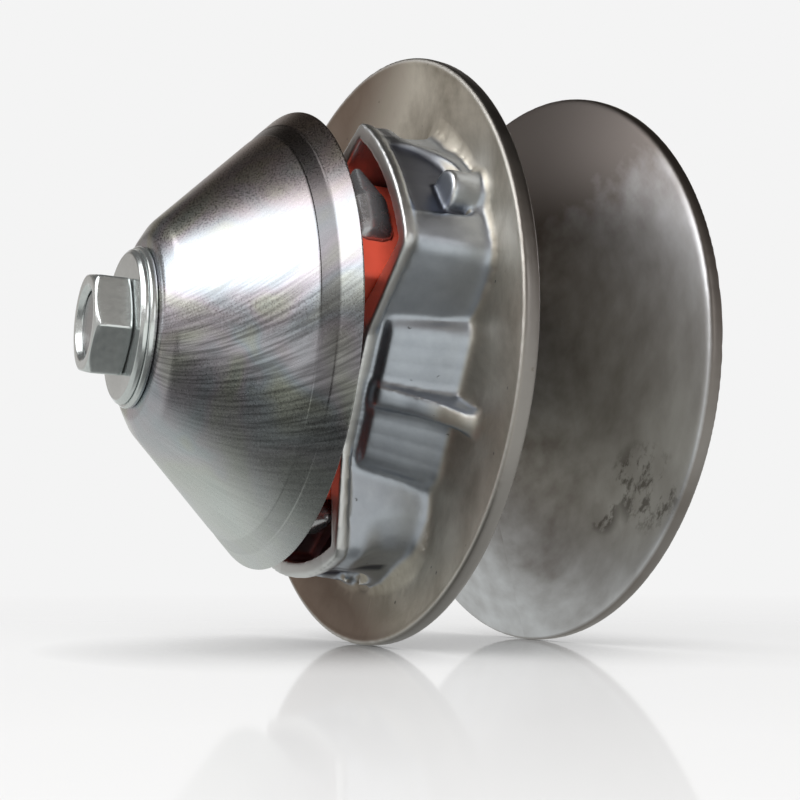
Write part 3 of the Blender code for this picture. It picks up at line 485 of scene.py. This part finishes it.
tree.links.new(bump.outputs[0], shader.inputs["Normal"])
print("zinc plated steel:", len(tree.nodes), "nodes")

# %% [markdown]
# The nut and washers are machined steel with a bluish bright zinc plating, smoother than the cone's. A crystal pattern
# could be drawn, but from here it only reads as slight changes of tone and gloss, which one noise gives.

# %% Bright zinc
# Bright zinc gives the eye a cool, clear shine. Its clear film scatters a little light, so it isn't fully metallic.
# Real crystals are under a tenth of a millimetre, too fine to show, so they are drawn at 1.6 mm.
CRYSTAL_MM = 1.6

bright_zinc, tree, shader = finish("machined steel, bright zinc plated", "#C8CDD4", 0.9, 0.2)
spot = add(tree, "ShaderNodeTexCoord").outputs["Object"]
crystals = add(tree, "ShaderNodeTexNoise", {"Vector": spot},
               {"Scale": per_mm(CRYSTAL_MM), "Detail": 4.0, "Roughness": 0.7})
fleck = add(tree, "ShaderNodeMix", {0: crystals.outputs["Fac"]},
            {RGBA_A: hue("#C4CACB"), RGBA_B: hue("#E8ECEB")}, data_type="RGBA")
tree.links.new(fleck.outputs[RGBA_OUT], shader.inputs["Base Color"])
rough = add(tree, "ShaderNodeMapRange", {"Value": crystals.outputs["Fac"]},
            {"From Min": 0.3, "From Max": 0.7, "To Min": 0.16, "To Max": 0.26})
tree.links.new(rough.outputs[0], shader.inputs["Roughness"])
print("bright zinc:", len(tree.nodes), "nodes")

# %% [markdown]
# The wedges are moulded red nylon, a dense and slightly waxy plastic. Its skin shows faint flow from the mould and
# rubbed patches, so one soft noise moves both colour and gloss.

# %% Red nylon
# Moulded nylon gives the eye a solid colour under a dull, even sheen.
FLOW_MM = 12

red_nylon, tree, shader = finish("red nylon, moulded", "#EE5F48", 0.0, 0.42)
spot = add(tree, "ShaderNodeTexCoord").outputs["Object"]
flow = add(tree, "ShaderNodeTexNoise", {"Vector": spot}, {"Scale": per_mm(FLOW_MM), "Detail": 4.0})
blush = add(tree, "ShaderNodeMix", {0: flow.outputs["Fac"]},
            {RGBA_A: hue("#CF4C39"), RGBA_B: hue("#E2604B")}, data_type="RGBA")
tree.links.new(blush.outputs[RGBA_OUT], shader.inputs["Base Color"])
rough = add(tree, "ShaderNodeMapRange", {"Value": flow.outputs["Fac"]}, {"To Min": 0.34, "To Max": 0.5})
tree.links.new(rough.outputs[0], shader.inputs["Roughness"])
print("red nylon:", len(tree.nodes), "nodes")

# %% [markdown]
# The remaining metals are plain shop finishes: oiled steel for the weights, ground steel for the shaft and sleeve,
# porous bronze for the bushes and black oil-tempered wire for the spring and circlip. They share one graph of grain
# between two tones, and a table holds what differs.

# %% Shop metals
# Oiled steel looks deep and greasy, ground steel crisp, bronze grainy and warm, and tempered wire almost black.
# The real grain of each is under a tenth of a millimetre, too fine to show, so all of it is drawn coarser.
SHOP = {
    # finish: light tone, dark tone, metallic, roughness, grain in millimetres
    "weight steel, phosphated and oiled": ("#C6C6C8", "#AEAEB2", 0.85, 0.26, 1.4),
    "ground steel": ("#B9BABC", "#98999B", 1.0, 0.24, 0.8),
    "sintered bronze": ("#B08A52", "#8C6A3A", 1.0, 0.42, 0.5),
    "oil tempered spring wire": ("#55565A", "#3C3D40", 1.0, 0.34, 1.0),
}
UNEVEN = 0.05
shop = {}
for label, (light, dark, metallic, roughness, size) in SHOP.items():
    shop[label], tree, shader = finish(label, light, metallic, roughness)
    spot = add(tree, "ShaderNodeTexCoord").outputs["Object"]
    grain = add(tree, "ShaderNodeTexNoise", {"Vector": spot}, {"Scale": per_mm(size), "Detail": 4.0})
    tones = add(tree, "ShaderNodeMix", {0: grain.outputs["Fac"]},
                {RGBA_A: hue(dark), RGBA_B: hue(light)}, data_type="RGBA")
    tree.links.new(tones.outputs[RGBA_OUT], shader.inputs["Base Color"])
    rough = add(tree, "ShaderNodeMapRange", {"Value": grain.outputs["Fac"]},
                {"To Min": roughness - UNEVEN, "To Max": roughness + UNEVEN})
    tree.links.new(rough.outputs[0], shader.inputs["Roughness"])
print("shop metals:", ", ".join(shop))

# %% [markdown]
# Castings and mouldings have no sharp edge anywhere. A bevel could round a simple block, but it fails where walls of a
# cup meet at many angles. So a copy of the solid is remeshed into small even cells and relaxed, which rounds every
# corner as a mould does, and a share can be given to smooth one place more than another.

# %% Rounding a mesh


def baked(piece):
    """Turn a piece's modifiers into its mesh."""
    view = bpy.context.evaluated_depsgraph_get()
    mesh = bpy.data.meshes.new_from_object(piece.evaluated_get(view))
    piece.modifiers.clear()
    piece.data = mesh


def relaxed(piece, passes, share=None):
    """Smooth a piece, everywhere or by a share that a function gives for each point and normal."""
    soft = piece.modifiers.new("relax", "SMOOTH")
    soft.iterations = passes
    soft.factor = 0.5
    if share:
        group = piece.vertex_groups.new(name=share.__name__)
        for v in piece.data.vertices:
            group.add([v.index], share(v.co, v.normal), "REPLACE")
        soft.vertex_group = group.name
    baked(piece)


print("rounding by", relaxed.__name__, "and", baked.__name__)

# %% [markdown]
# The solids' round faces have 72 flats, which would show along a rim. A finer solid would be heavy, so each point is
# pushed out to the true circle by the gap between a flat and its circle at that angle.

# %% Flats to true circles
SIDES = 72


def rounded_out(mesh):
    """Push the points of a many-sided mesh out to the true circle about X."""
    step = 2 * math.pi / SIDES
    for v in mesh.vertices:
        turn = math.atan2(v.co.y, v.co.z)
        off = (turn + step / 2) % step - step / 2
        grow = math.cos(abs(off) - step / 2) / math.cos(step / 2)
        v.co.y *= grow
        v.co.z *= grow


print("one flat of", SIDES, "is", round(SHEAVE_R * 2 * math.pi / SIDES, 1), "mm long at the rim")

# %% [markdown]
# A casting goes through the same steps each time. The solid is copied, what is extra is laid in, and the whole is
# remeshed, relaxed, carved and smoothed. At the end the mesh is thinned where it is flat, so that it stays light.

# %% A casting from a solid
FIRST_PASSES = 4


def cast(name, node, cell, keep, extra=None, carve=None, soften=()):
    """A rounded copy of a solid; cell is in millimetres and keep is the share of faces left at the end."""
    bm = bmesh.new()
    bm.from_mesh(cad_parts[node].data)
    bmesh.ops.remove_doubles(bm, verts=bm.verts, dist=1e-6)
    if extra:
        extra(bm)
    mesh = bpy.data.meshes.new(name)
    bm.to_mesh(mesh)
    bm.free()
    mesh.materials.clear()
    piece = show(name, mesh)
    piece.modifiers.new("cells", "REMESH").voxel_size = cell * MM
    relaxed(piece, FIRST_PASSES)
    if carve:
        for v, place in [(v, carve(v.co, v.normal)) for v in piece.data.vertices]:
            v.co = place
    for passes, share in soften:
        relaxed(piece, passes, share)
    rounded_out(piece.data)
    piece.modifiers.new("thin", "DECIMATE").ratio = keep
    baked(piece)
    piece.data.shade_smooth()
    return piece


print("a casting is first relaxed", FIRST_PASSES, "times")

# %% [markdown]
# Each new piece takes a finish, rides on one body of the frame and stands for the solid that it hides. Doing all of
# this in one place keeps a piece from being left behind when a joint moves.

# %% Dressing a piece


def dress(piece, mat, body, slot, *nodes):
    """Finish a piece, let it ride on its body and stand for its solids."""
    piece.data.materials.clear()
    piece.data.materials.append(mat)
    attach(piece, body)
    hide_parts(*nodes)
    print(piece.name, len(piece.data.polygons), "faces on", body)


# %% [markdown]
# The three lobes of the cup are alike, so a place on any of them is given in its own terms: u is the height out of the
# axis, v the distance across, and s the axial place. With these, a rule written once holds for every lobe.

# %% Places on a lobe


def ways(turn):
    """Directions out of the axis and across, at an angle."""
    return Vector((0.0, -math.sin(turn), math.cos(turn))), Vector((0.0, -math.cos(turn), -math.sin(turn)))


def share_of(value, start, end):
    """How far a value has gone from start to end, from 0 to 1."""
    return min(1.0, max(0.0, (value - start) / (end - start)))


def on_cup(co, normal):
    """Axial place, radius, nearest lobe's height and place across, and how far the normal faces outwards."""
    turn = math.degrees(math.atan2(-co.y, co.z))
    off = math.radians((turn - LOBES[0] + 60) % 120 - 60)
    r = math.hypot(co.y, co.z) / MM
    outward = (normal.y * co.y + normal.z * co.z) / MM / max(r, 1.0)
    return -co.x / MM + HUB_REAR, r, r * math.cos(off), r * math.sin(off), outward


print("lobes at", LOBES, "degrees")

# %% [markdown]
# A round post stands in the pocket of the near lobe. The solid has a plain one in every lobe, where only one is seen,
# so the others sink into the disc. The new post is simply laid into the solid, since remeshing joins what overlaps.

# %% Post in the near pocket
POST_U, POST_V, POST_R, POST_END = 70.2, 7.9, 5.7, 72.2
POST_FOOT, PLAIN_END, SUNK_END = 60.0, 70.5, 61.0


def posts(bm):
    """Put a round post into the near lobe's pocket and sink the plain posts of the other lobes."""
    out, across = ways(math.radians(LOBES[0]))
    middle = (out * POST_U + across * POST_V) * MM + at((POST_FOOT + POST_END) / 2, 0.0, 0.0)
    bmesh.ops.create_cone(bm, cap_ends=True, segments=48, radius1=POST_R * MM, radius2=POST_R * MM,
                          depth=(POST_END - POST_FOOT) * MM,
                          matrix=Matrix.Translation(middle) @ Matrix.Rotation(math.pi / 2, 4, "Y"))
    for lobe in LOBES[1:]:
        out, across = ways(math.radians(lobe))
        for v in bm.verts:
            off = math.hypot(v.co.dot(out) / MM - POST_U, v.co.dot(across) / MM - POST_V)
            if off < POST_R and abs(v.co.x - along(PLAIN_END)) < 0.1 * MM:
                v.co.x = along(SUNK_END)


def near_post(s, u, v, start):
    """Whether a place is on the post, beyond an axial place."""
    return math.hypot(u - POST_U, v - POST_V) < POST_R + 1.0 and s > start


print("post of", 2 * POST_R, "mm, to", POST_END, "mm along")

# %% [markdown]
# The outside of the cup is all large fillets, and its foot flows into the disc. Beyond the arched pocket the skin of a
# lobe falls away to the disc. Modelling such fillets one by one is slow work. Smoothing only there, many times over,
# grows them, while the lip and the post keep their edges.

# %% Where the cup is soft
ARCH_S, ARCH_V, ARCH_LONG, ARCH_HIGH = 82.3, 3.0, 16.7, 15.2
CUP_START, CUP_IN, CUP_OUT = 58.5, 42.0, 80.0
LOBE_SIDE, LOBE_TOP, LOBE_R = 54.0, 68.0, 77.0
DEEPEST, FALL = 3.5, 0.5
LIP_SOFT, WALL_SOFT, FOOT_SOFT, RADIUS_SOFT = (83.0, 80.5), (76, 71), (67, 62), (82.0, 78)
FOOT_IN, WALL_U = 48, 60


def fall_away(co, normal):
    """Place of a point of a lobe's skin, let down towards the disc where it lies beyond the arch."""
    s, r, u, v, outward = on_cup(co, normal)
    if s < POST_FOOT or outward < -0.05 or u < LOBE_SIDE or r > LOBE_R:
        return co.copy()
    past = (math.hypot((ARCH_S - s) / ARCH_LONG, (v - ARCH_V) / ARCH_HIGH) - 1.1) * ARCH_HIGH
    drop = min(DEEPEST, FALL * max(0.0, past))
    drop = drop * share_of(s, 78, 73) * share_of(v, 3, -1) * share_of(u, LOBE_SIDE, LOBE_TOP)
    return co * (1 - drop / r) + Vector((co.x * drop / r, 0.0, 0.0))


def cup_fillets(co, normal):
    """Share of smoothing for the cup's outer walls, short of the lip."""
    s, r, u, v, outward = on_cup(co, normal)
    if s < CUP_START or r < CUP_IN or r > CUP_OUT or outward < -0.15:
        return 0.0
    if near_post(s, u, v, 66):
        return 0.1
    return share_of(s, *LIP_SOFT)


def foot_fillets(co, normal):
    """Share of smoothing for the foot of the cup, where it meets the disc."""
    s, r, u, v, outward = on_cup(co, normal)
    if s < CUP_START or r < FOOT_IN or outward < -0.15 or near_post(s, u, v, 64):
        return 0.0
    if v < 0 and u > WALL_U:
        return share_of(s, *WALL_SOFT) * share_of(r, *RADIUS_SOFT) * share_of(v, 0, -4)
    return share_of(s, *FOOT_SOFT) * share_of(r, *RADIUS_SOFT)


print("fillets between radius", CUP_IN, "and", CUP_OUT, "mm")

# %% [markdown]
# Each sheave is one casting. The movable one carries the cup and takes all the rules for its fillets. The fixed one
# is a plain dish with ribs, but remeshing leaves small teeth along its thin rim, so the rim alone is smoothed a
# little more. Both could be sculpted by hand, but rules give the same mesh each time.

# %% The two sheaves
CELL_MM = 0.7


def rim_edges(co, normal):
    """Share of smoothing for the rim of a sheave."""
    return share_of(math.hypot(co.y, co.z) / MM, SHEAVE_R - 6, SHEAVE_R - 3)


moving = cast("movable_casting", "movable_sheave", CELL_MM, 0.5, posts, fall_away,
              ((26, cup_fillets), (60, foot_fillets)))
dress(moving, cast_skin, "moving_group", "sheave_aluminium", "movable_sheave")
fixed = cast("fixed_casting", "fixed_sheave", CELL_MM, 0.4, soften=((8, rim_edges),))
dress(fixed, belt_metal, "fixed_group", "sheave_aluminium", "fixed_sheave")

# %% [markdown]
# Turned parts are profiles spun about an axis, as on a lathe. Each corner of a profile is eased by a small arc,
# because a real edge is broken with a file and catches a line of light. A bevel would do the same after spinning, but
# in the profile each corner costs only a few points.

# %% Eased corners


def eased(corners, radius, points=3, closed=True):
    """Profile with small arcs in place of its corners."""
    loop = []
    count = len(corners)
    for i in range(count):
        here = Vector(corners[i])
        if not closed and i in (0, count - 1):
            loop.append(tuple(here))
            continue
        before = Vector(corners[i - 1]) - here
        after = Vector(corners[(i + 1) % count]) - here
        reach = min(radius, before.length * 0.45, after.length * 0.45)
        p, q = before.normalized() * reach, after.normalized() * reach
        for j in range(points + 1):
            t = j / points
            loop.append(tuple(here + p * (1 - t) ** 2 + q * t ** 2))
    return loop


print("an eased square has", len(eased([(0, 0), (0, 1), (1, 1), (1, 0)], 0.2)), "points")

# %% [markdown]
# The spin sets copies of the profile round the axis and joins each to the next. Blender's screw modifier spins too,
# but here the radius may change with the angle, which a nut needs, and the axis may lie anywhere.

# %% Turned parts
SPIN = 192


def turned(name, profile, wobble=None, spin=SPIN, where=at):
    """Spin a closed profile of (axial place, radius) about an axis; wobble may change a radius by its angle."""
    count = len(profile)
    points, faces = [], []
    for i in range(spin):
        turn = 2 * math.pi * i / spin
        points += [where(s, wobble(s, r, turn) if wobble else r, turn) for s, r in profile]
        here, there = i * count, (i + 1) % spin * count
        faces += [(here + j, here + (j + 1) % count, there + (j + 1) % count, there + j) for j in range(count)]
    mesh = bpy.data.meshes.new(name)
    mesh.from_pydata(points, [], faces)
    bm = bmesh.new()
    bm.from_mesh(mesh)
    bmesh.ops.dissolve_degenerate(bm, dist=1e-7, edges=bm.edges)
    bmesh.ops.recalc_face_normals(bm, faces=bm.faces)
    bm.to_mesh(mesh)
    bm.free()
    mesh.shade_smooth()
    piece = show(name, mesh)
    piece.modifiers.new("even", "WEIGHTED_NORMAL").keep_sharp = True
    return piece


print("turned parts have", SPIN, "steps")

# %% [markdown]
# A wedge slides in each lobe and carries a steel weight. The wedge is a moulding, so it is cast like the sheaves
# with a finer cell. Its weight is a turned slug that lies across the lobe, with a long point that is tilted out of
# the red. Tilting moves each slice of the slug outwards by its distance from the blunt end.

# %% Wedges and weights
WEDGE_CELL = 0.6
WEIGHT_S, WEIGHT_U, WEIGHT_V, WEIGHT_TILT = 84.5, 47.9, -4.5, 13.0
SLUG = [(-13.0, 0.0), (-13.0, 3.7), (-12.1, 5.8), (-10.0, 7.0), (-1.0, 7.0), (12.4, 1.4), (13.0, 0.0)]


def slug_point(turn_deg):
    """A function from a slug's own (length, radius, turn) to a world point in one lobe."""
    out, across = ways(math.radians(turn_deg))
    climb = math.tan(math.radians(WEIGHT_TILT))

    def point(z, r, turn):
        """World point of a place on the slug."""
        u = WEIGHT_U + r * math.sin(turn) + (z - SLUG[0][0]) * climb
        return (out * u + across * (WEIGHT_V - z)) * MM + at(WEIGHT_S + r * math.cos(turn), 0.0, 0.0)

    return point


for k, lobe in enumerate(LOBES, 1):
    wedge = cast(f"nylon_wedge_{k}", f"wedge_{k}", WEDGE_CELL, 0.6)
    dress(wedge, red_nylon, f"wedge_group_{k}", "red_nylon", f"wedge_{k}")
    slug = turned(f"steel_weight_{k}", eased(SLUG, 0.8, 4, closed=False), spin=96, where=slug_point(lobe))
    dress(slug, shop["weight steel, phosphated and oiled"], f"wedge_group_{k}", "weight_steel", f"weight_{k}")

# %% [markdown]
# The cone cover widens from the nut to a plain rim, with a shallow groove under its stripe. A real one is sheet,
# pressed over a spinning former. So the profile runs along the outside and back along the inside, at the thickness
# of the sheet, where a solid cone would look too heavy at the rim.

# %% Cone cover
RIM_S, RIM_R, END_S, END_R, SHEET = 97.38, 67.88, 136.0, 28.0, 2.5
RISE = (RIM_R - END_R) / (END_S - RIM_S)
WALL = SHEET / math.sin(math.atan(RISE))
NOSE = 9.4
GROOVE, GROOVE_HALF, GROOVE_SLOPE = 0.15, 1.75, 0.2
groove_start, groove_end = STRIPE_S - GROOVE_HALF, STRIPE_S + GROOVE_HALF


def cone_r(s):
    """Outer radius of the cone at an axial place."""
    return RIM_R - (s - RIM_S) * RISE


cone_profile = [
    (RIM_S + 0.2, RIM_R - WALL * RISE), (RIM_S - 0.2, RIM_R - 1.3), (RIM_S, RIM_R),
    (groove_start, cone_r(groove_start)),
    (groove_start + GROOVE_SLOPE, cone_r(groove_start + GROOVE_SLOPE) - GROOVE),
    (groove_end - GROOVE_SLOPE, cone_r(groove_end - GROOVE_SLOPE) - GROOVE),
    (groove_end, cone_r(groove_end)),
    (END_S - 3.1, cone_r(END_S - 3.1)), (END_S - 0.2, END_R - 1.9), (END_S, END_R - 5.0), (END_S, NOSE),
    (END_S - SHEET, NOSE), (END_S - SHEET, END_R - 4.2), (END_S - SHEET - 1.2, END_R - 1.8),
    (END_S - 5.0 - WALL, cone_r(END_S - 5.0)),
]
cone = turned("plated_cone", eased(cone_profile, 1.2, 4), spin=256)
dress(cone, spun_zinc, "fixed_group", "spun_steel", "cone_cover")

# %% [markdown]
# Two washers lie between the cone and the nut. The inner one has a round edge, and the outer one is flat with a broken
# edge that shines. Both are plain profiles, eased by different amounts.

# %% Washers
rear_ring = [(136.05, NOSE), (136.05, 23.0), (138.2, 23.0), (138.2, NOSE)]
front_ring = [(138.25, NOSE), (138.25, 21.96), (139.3, 21.96), (140.26, 20.7), (140.26, NOSE)]
rear = turned("round_edge_washer", eased(rear_ring, 0.9, 5))
dress(rear, bright_zinc, "fixed_group", "zinc_steel", "rear_washer")
front = turned("flat_washer", eased(front_ring, 0.3, 3))
dress(front, bright_zinc, "fixed_group", "zinc_steel", "front_washer")

# %% [markdown]
# The nut is a hexagon whose corners are cut by a cone at each end, with a thread in its bore. It could be cut from a
# block by cones and a screw. Here both forms come from one spun profile whose radius changes with the angle: outside
# by the six flats, and inside by the thread.

# %% Nut
NUT_START, NUT_END, FLATS, NUT_TURN, BORE = 140.56, 150.56, 27.0, 43.0, 9.0
CORNER = FLATS / math.sqrt(3)
PITCH, THREAD_DEPTH = 1.5, 0.45
SOFT_EDGE = 0.35


def nut_r(s, r, turn):
    """Radius of the nut: flats where the profile is outside, thread where it is in the bore."""
    if r > BORE + 2.5:
        off = (turn - math.radians(NUT_TURN) + math.pi / 6) % (math.pi / 3) - math.pi / 6
        flat = FLATS / 2 / math.cos(abs(off) - math.pi / 6)
        return -SOFT_EDGE * math.log(math.exp(-flat / SOFT_EDGE) + math.exp(-r / SOFT_EDGE))
    if r < BORE + 0.1:
        wave = (s / PITCH - turn / (2 * math.pi)) % 1.0
        return BORE + THREAD_DEPTH * abs(2 * wave - 1)
    return r


nut_profile = [(NUT_START, BORE + 1.0), (NUT_START, CORNER - 0.9), (NUT_START + 0.45, CORNER + 0.2)]
nut_profile += [(NUT_START + 1 + k, CORNER + 0.6) for k in range(7)]
nut_profile += [(NUT_END - 1.7, CORNER + 0.4), (NUT_END - 1.1, CORNER - 0.5), (NUT_END - 0.5, CORNER - 1.5),
                (NUT_END - 0.1, CORNER - 2.3), (NUT_END, CORNER - 2.8), (NUT_END, BORE + 2.0),
                (NUT_END - 0.15, BORE + 1.6), (NUT_END - 1.2, BORE + 0.5)]
nut_profile += [(NUT_END - 1.4 - 0.25 * k, BORE) for k in range(34)]
nut = turned("plated_nut", nut_profile, nut_r, spin=240)
dress(nut, bright_zinc, "fixed_group", "zinc_steel", "hub_nut")

# %% [markdown]
# The belt rests on a free steel sleeve when the groove is open. It is a short tube with eased edges.

# %% Sleeve
sleeve = turned("belt_sleeve", eased([(22.35, 21.0), (22.35, 23.5), (42.05, 23.5), (42.05, 21.0)], 0.5, 4))
dress(sleeve, shop["ground steel"], "idler", "machined_steel", "idler_sleeve")

# %% [markdown]
# A coil spring inside the sleeve opens the groove. It is one wire on a helix, so rings of points are set along the
# helix and joined. A curve with a bevel would do too, but then the ends of the wire would stay open. The spring is
# pressed short as the sheaves close.

# %% Spring
LOW, HIGH, COIL_R, WIRE, TURNS = 26.2, 67.1, 18.2, 3.2, 5.5
STEP, AROUND = 36, 12

coil = bmesh.new()
rings = []
for i in range(int(TURNS * STEP) + 1):
    turn = 2 * math.pi * i / STEP + math.pi
    s = LOW + (HIGH - LOW) * i / (TURNS * STEP)
    ring = []
    for j in range(AROUND):
        a = 2 * math.pi * j / AROUND
        ring.append(coil.verts.new(at(s + WIRE / 2 * math.sin(a), COIL_R + WIRE / 2 * math.cos(a), turn)))
    rings.append(ring)
for one, two in zip(rings, rings[1:]):
    for j in range(AROUND):
        coil.faces.new((one[j], one[(j + 1) % AROUND], two[(j + 1) % AROUND], two[j]))
for end in (rings[0], rings[-1]):
    coil.faces.new(end)
bmesh.ops.recalc_face_normals(coil, faces=coil.faces)
coil_mesh = bpy.data.meshes.new("coil_spring")
coil.to_mesh(coil_mesh)
coil.free()
coil_mesh.shade_smooth()
spring = show("coil_spring", coil_mesh)
dress(spring, shop["oil tempered spring wire"], "fixed_group", "spring_steel", "return_spring")
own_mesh(spring)

# %% [markdown]
# The small parts inside keep their solids, which have the right shape, and only take a better finish. They could be
# remade with eased edges too, but almost nothing of them is seen.

# %% Finishes for the inner solids
INNER = (
    (shop["ground steel"], ("shaft", "spacer_tube", "drive_key_1", "drive_key_2")),
    (shop["sintered bronze"], ("rear_bush", "front_bush")),
    (shop["oil tempered spring wire"], ("circlip",)),
    (bright_zinc, ("spring_seat", "thrust_washer")),
)
for mat, names in INNER:
    for name in names:
        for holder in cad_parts[name].material_slots:
            holder.material = mat
    print(mat.name, "on", ", ".join(names))

# %% [markdown]
# The set is a pale glossy table that fades into white paper, with a soft shade where the sheaves come close to it.
# In a studio the near left of a table is often kept dark with a black card, so that bright metal doesn't go flat. The
# card is out of the picture and only metal sees it, so here the table itself turns dark there for every ray but the
# camera's.

# %% Table
FLOOR, SIDE = -90.0 * MM, 1.6

table = bpy.data.meshes.new("table")
table.from_pydata([(-SIDE, -SIDE, FLOOR), (SIDE, -SIDE, FLOOR), (SIDE, SIDE, FLOOR), (-SIDE, SIDE, FLOOR)], [],
                  [(0, 1, 2, 3)])
ground = show("table", table)
# Polished acrylic gives the eye a clear but faint mirror image over a white ground.
gloss, tree, shader = finish("white acrylic table", "#E8E8E8", 0.0, 0.06)
shader.inputs["IOR"].default_value = 1.2
table.materials.append(gloss)
print("table at Z", FLOOR)

# %% [markdown]
# What the camera sees of the table is half polished acrylic and half glowing paper near the pulley, and paper alone
# further off. Lights alone would leave a line where the table ends, so the glow matches the paper behind it.

# %% What the camera sees of the table
FADE_START, FADE_END = 0.25, 0.8

spot = add(tree, "ShaderNodeTexCoord").outputs["Object"]
nook = add(tree, "ShaderNodeAmbientOcclusion", None, {"Color": hue("#E8E8E8"), "Distance": 60 * MM}, samples=8)
tree.links.new(nook.outputs["Color"], shader.inputs["Base Color"])
paper = add(tree, "ShaderNodeEmission", {"Strength": nook.outputs["AO"]}, {"Color": hue("#F4F4F4")})
away = add(tree, "ShaderNodeVectorMath", {0: spot}, operation="LENGTH")
distant = add(tree, "ShaderNodeMapRange", {"Value": away.outputs["Value"]},
              {"From Min": FADE_START, "From Max": FADE_END, "To Min": 0.5, "To Max": 1.0})
pale = add(tree, "ShaderNodeMixShader", {0: distant.outputs[0], 1: shader.outputs[0], 2: paper.outputs[0]})
print("the table is paper from", FADE_END, "m on")

# %% [markdown]
# What metal sees of the table is bright behind the pulley, to its right and in front, and dark at the near left.
# Three slopes across the table draw this, and the brightest of them holds at each place.

# %% What metal sees of the table
place = add(tree, "ShaderNodeSeparateXYZ", {0: spot})
slant = add(tree, "ShaderNodeMath", {0: place.outputs["X"], 2: place.outputs["Y"]}, {1: 0.25},
            operation="MULTIPLY_ADD")
back = add(tree, "ShaderNodeMapRange", {"Value": slant.outputs[0]},
           {"From Min": -62 * MM, "From Max": -5 * MM, "To Min": 0.13, "To Max": 0.66})
right = add(tree, "ShaderNodeMapRange", {"Value": place.outputs["X"]},
            {"From Min": -100 * MM, "From Max": -50 * MM, "To Min": 0.0, "To Max": 0.7})
ahead = add(tree, "ShaderNodeMapRange", {"Value": place.outputs["Y"]},
            {"From Min": -90 * MM, "From Max": -125 * MM, "To Min": 0.0, "To Max": 1.0})
sides = add(tree, "ShaderNodeMath", {0: back.outputs[0], 1: right.outputs[0]}, operation="MAXIMUM")
card = add(tree, "ShaderNodeMath", {0: sides.outputs[0], 1: ahead.outputs[0]}, operation="MAXIMUM")
bounce = add(tree, "ShaderNodeEmission", {"Strength": card.outputs[0]}, {"Color": hue("#F4F6F2")})
seen = add(tree, "ShaderNodeLightPath")
either = add(tree, "ShaderNodeMixShader", {0: seen.outputs["Is Camera Ray"], 1: bounce.outputs[0],
                                           2: pale.outputs[0]})
tree.links.new(either.outputs[0], tree.nodes["Material Output"].inputs["Surface"])
print("table:", len(tree.nodes), "nodes")

# %% [markdown]
# The room is dim and brownish overhead, lighter near the table, with white paper behind the pulley. Metal shows its
# surroundings, so the room matters as much as the lamps. It is drawn by direction alone: no walls are needed.

# %% Room light
PAPER_WAY = (0.475, 0.88, 0.0)

world = bpy.data.worlds.new("studio")
bpy.context.scene.world = world
world.use_nodes = True
tree = world.node_tree
sky = tree.nodes["Background"]
ray = add(tree, "ShaderNodeTexCoord").outputs["Generated"]
ahead = add(tree, "ShaderNodeVectorMath", {0: ray}, {1: PAPER_WAY}, operation="DOT_PRODUCT")
paper = add(tree, "ShaderNodeMapRange", {"Value": ahead.outputs["Value"]},
            {"From Min": 0.6, "From Max": 0.9}, interpolation_type="SMOOTHSTEP")
way = add(tree, "ShaderNodeSeparateXYZ", {0: ray})
dusk = add(tree, "ShaderNodeMapRange", {"Value": way.outputs["Z"]},
           {"From Min": 0.2, "From Max": 0.55, "To Min": 0.62, "To Max": 0.02})
near_side = add(tree, "ShaderNodeMapRange", {"Value": way.outputs["Y"]},
                {"From Min": -0.3, "From Max": -0.75, "To Min": 0.0, "To Max": 0.4})
dim = add(tree, "ShaderNodeMath", {0: near_side.outputs[0], 1: dusk.outputs[0]}, operation="MAXIMUM")
room = add(tree, "ShaderNodeMath", {0: paper.outputs[0], 1: dim.outputs[0]}, operation="MAXIMUM")
seen = add(tree, "ShaderNodeLightPath")
level = add(tree, "ShaderNodeMath", {0: room.outputs[0], 1: seen.outputs["Is Camera Ray"]}, operation="MAXIMUM")
brown = add(tree, "ShaderNodeMix", {0: level.outputs[0]}, {RGBA_A: hue("#C9B8A8"), RGBA_B: hue("#F4F4F4")},
            data_type="RGBA")
tree.links.new(brown.outputs[RGBA_OUT], sky.inputs["Color"])
tree.links.new(level.outputs[0], sky.inputs["Strength"])
print("room:", len(tree.nodes), "nodes")

# %% [markdown]
# One large softbox to the left draws the broad white band on the cone. A weak one near the camera lifts the side of
# the cup. The red nylon and the table need more light than metal can take, so a third one lights them without being
# mirrored.

# %% Softboxes
AIM = Vector((-0.1, 0.0, 0.0))


def softbox(name, toward, distance, wide, high, power):
    """Area light in a direction from the pulley, facing it."""
    data = bpy.data.lights.new(name, "AREA")
    data.shape = "RECTANGLE"
    data.size = wide
    data.size_y = high
    data.energy = power
    lamp = bpy.data.objects.new(name, data)
    lamp.location = Vector(toward).normalized() * distance + AIM
    lamp.rotation_euler = (-Vector(toward)).to_track_quat("-Z", "Y").to_euler()
    bpy.context.scene.collection.objects.link(lamp)
    return lamp


softbox("key_softbox", (-0.81, -0.09, 0.585), 1.0, 1.15, 0.64, 7.4)
softbox("side_softbox", (0.28, -0.94, 0.2), 1.2, 0.4, 0.45, 0.6)
fill = softbox("plastic_fill", (-0.35, -0.75, 0.55), 1.2, 0.8, 0.8, 15.0)
fill.visible_glossy = False
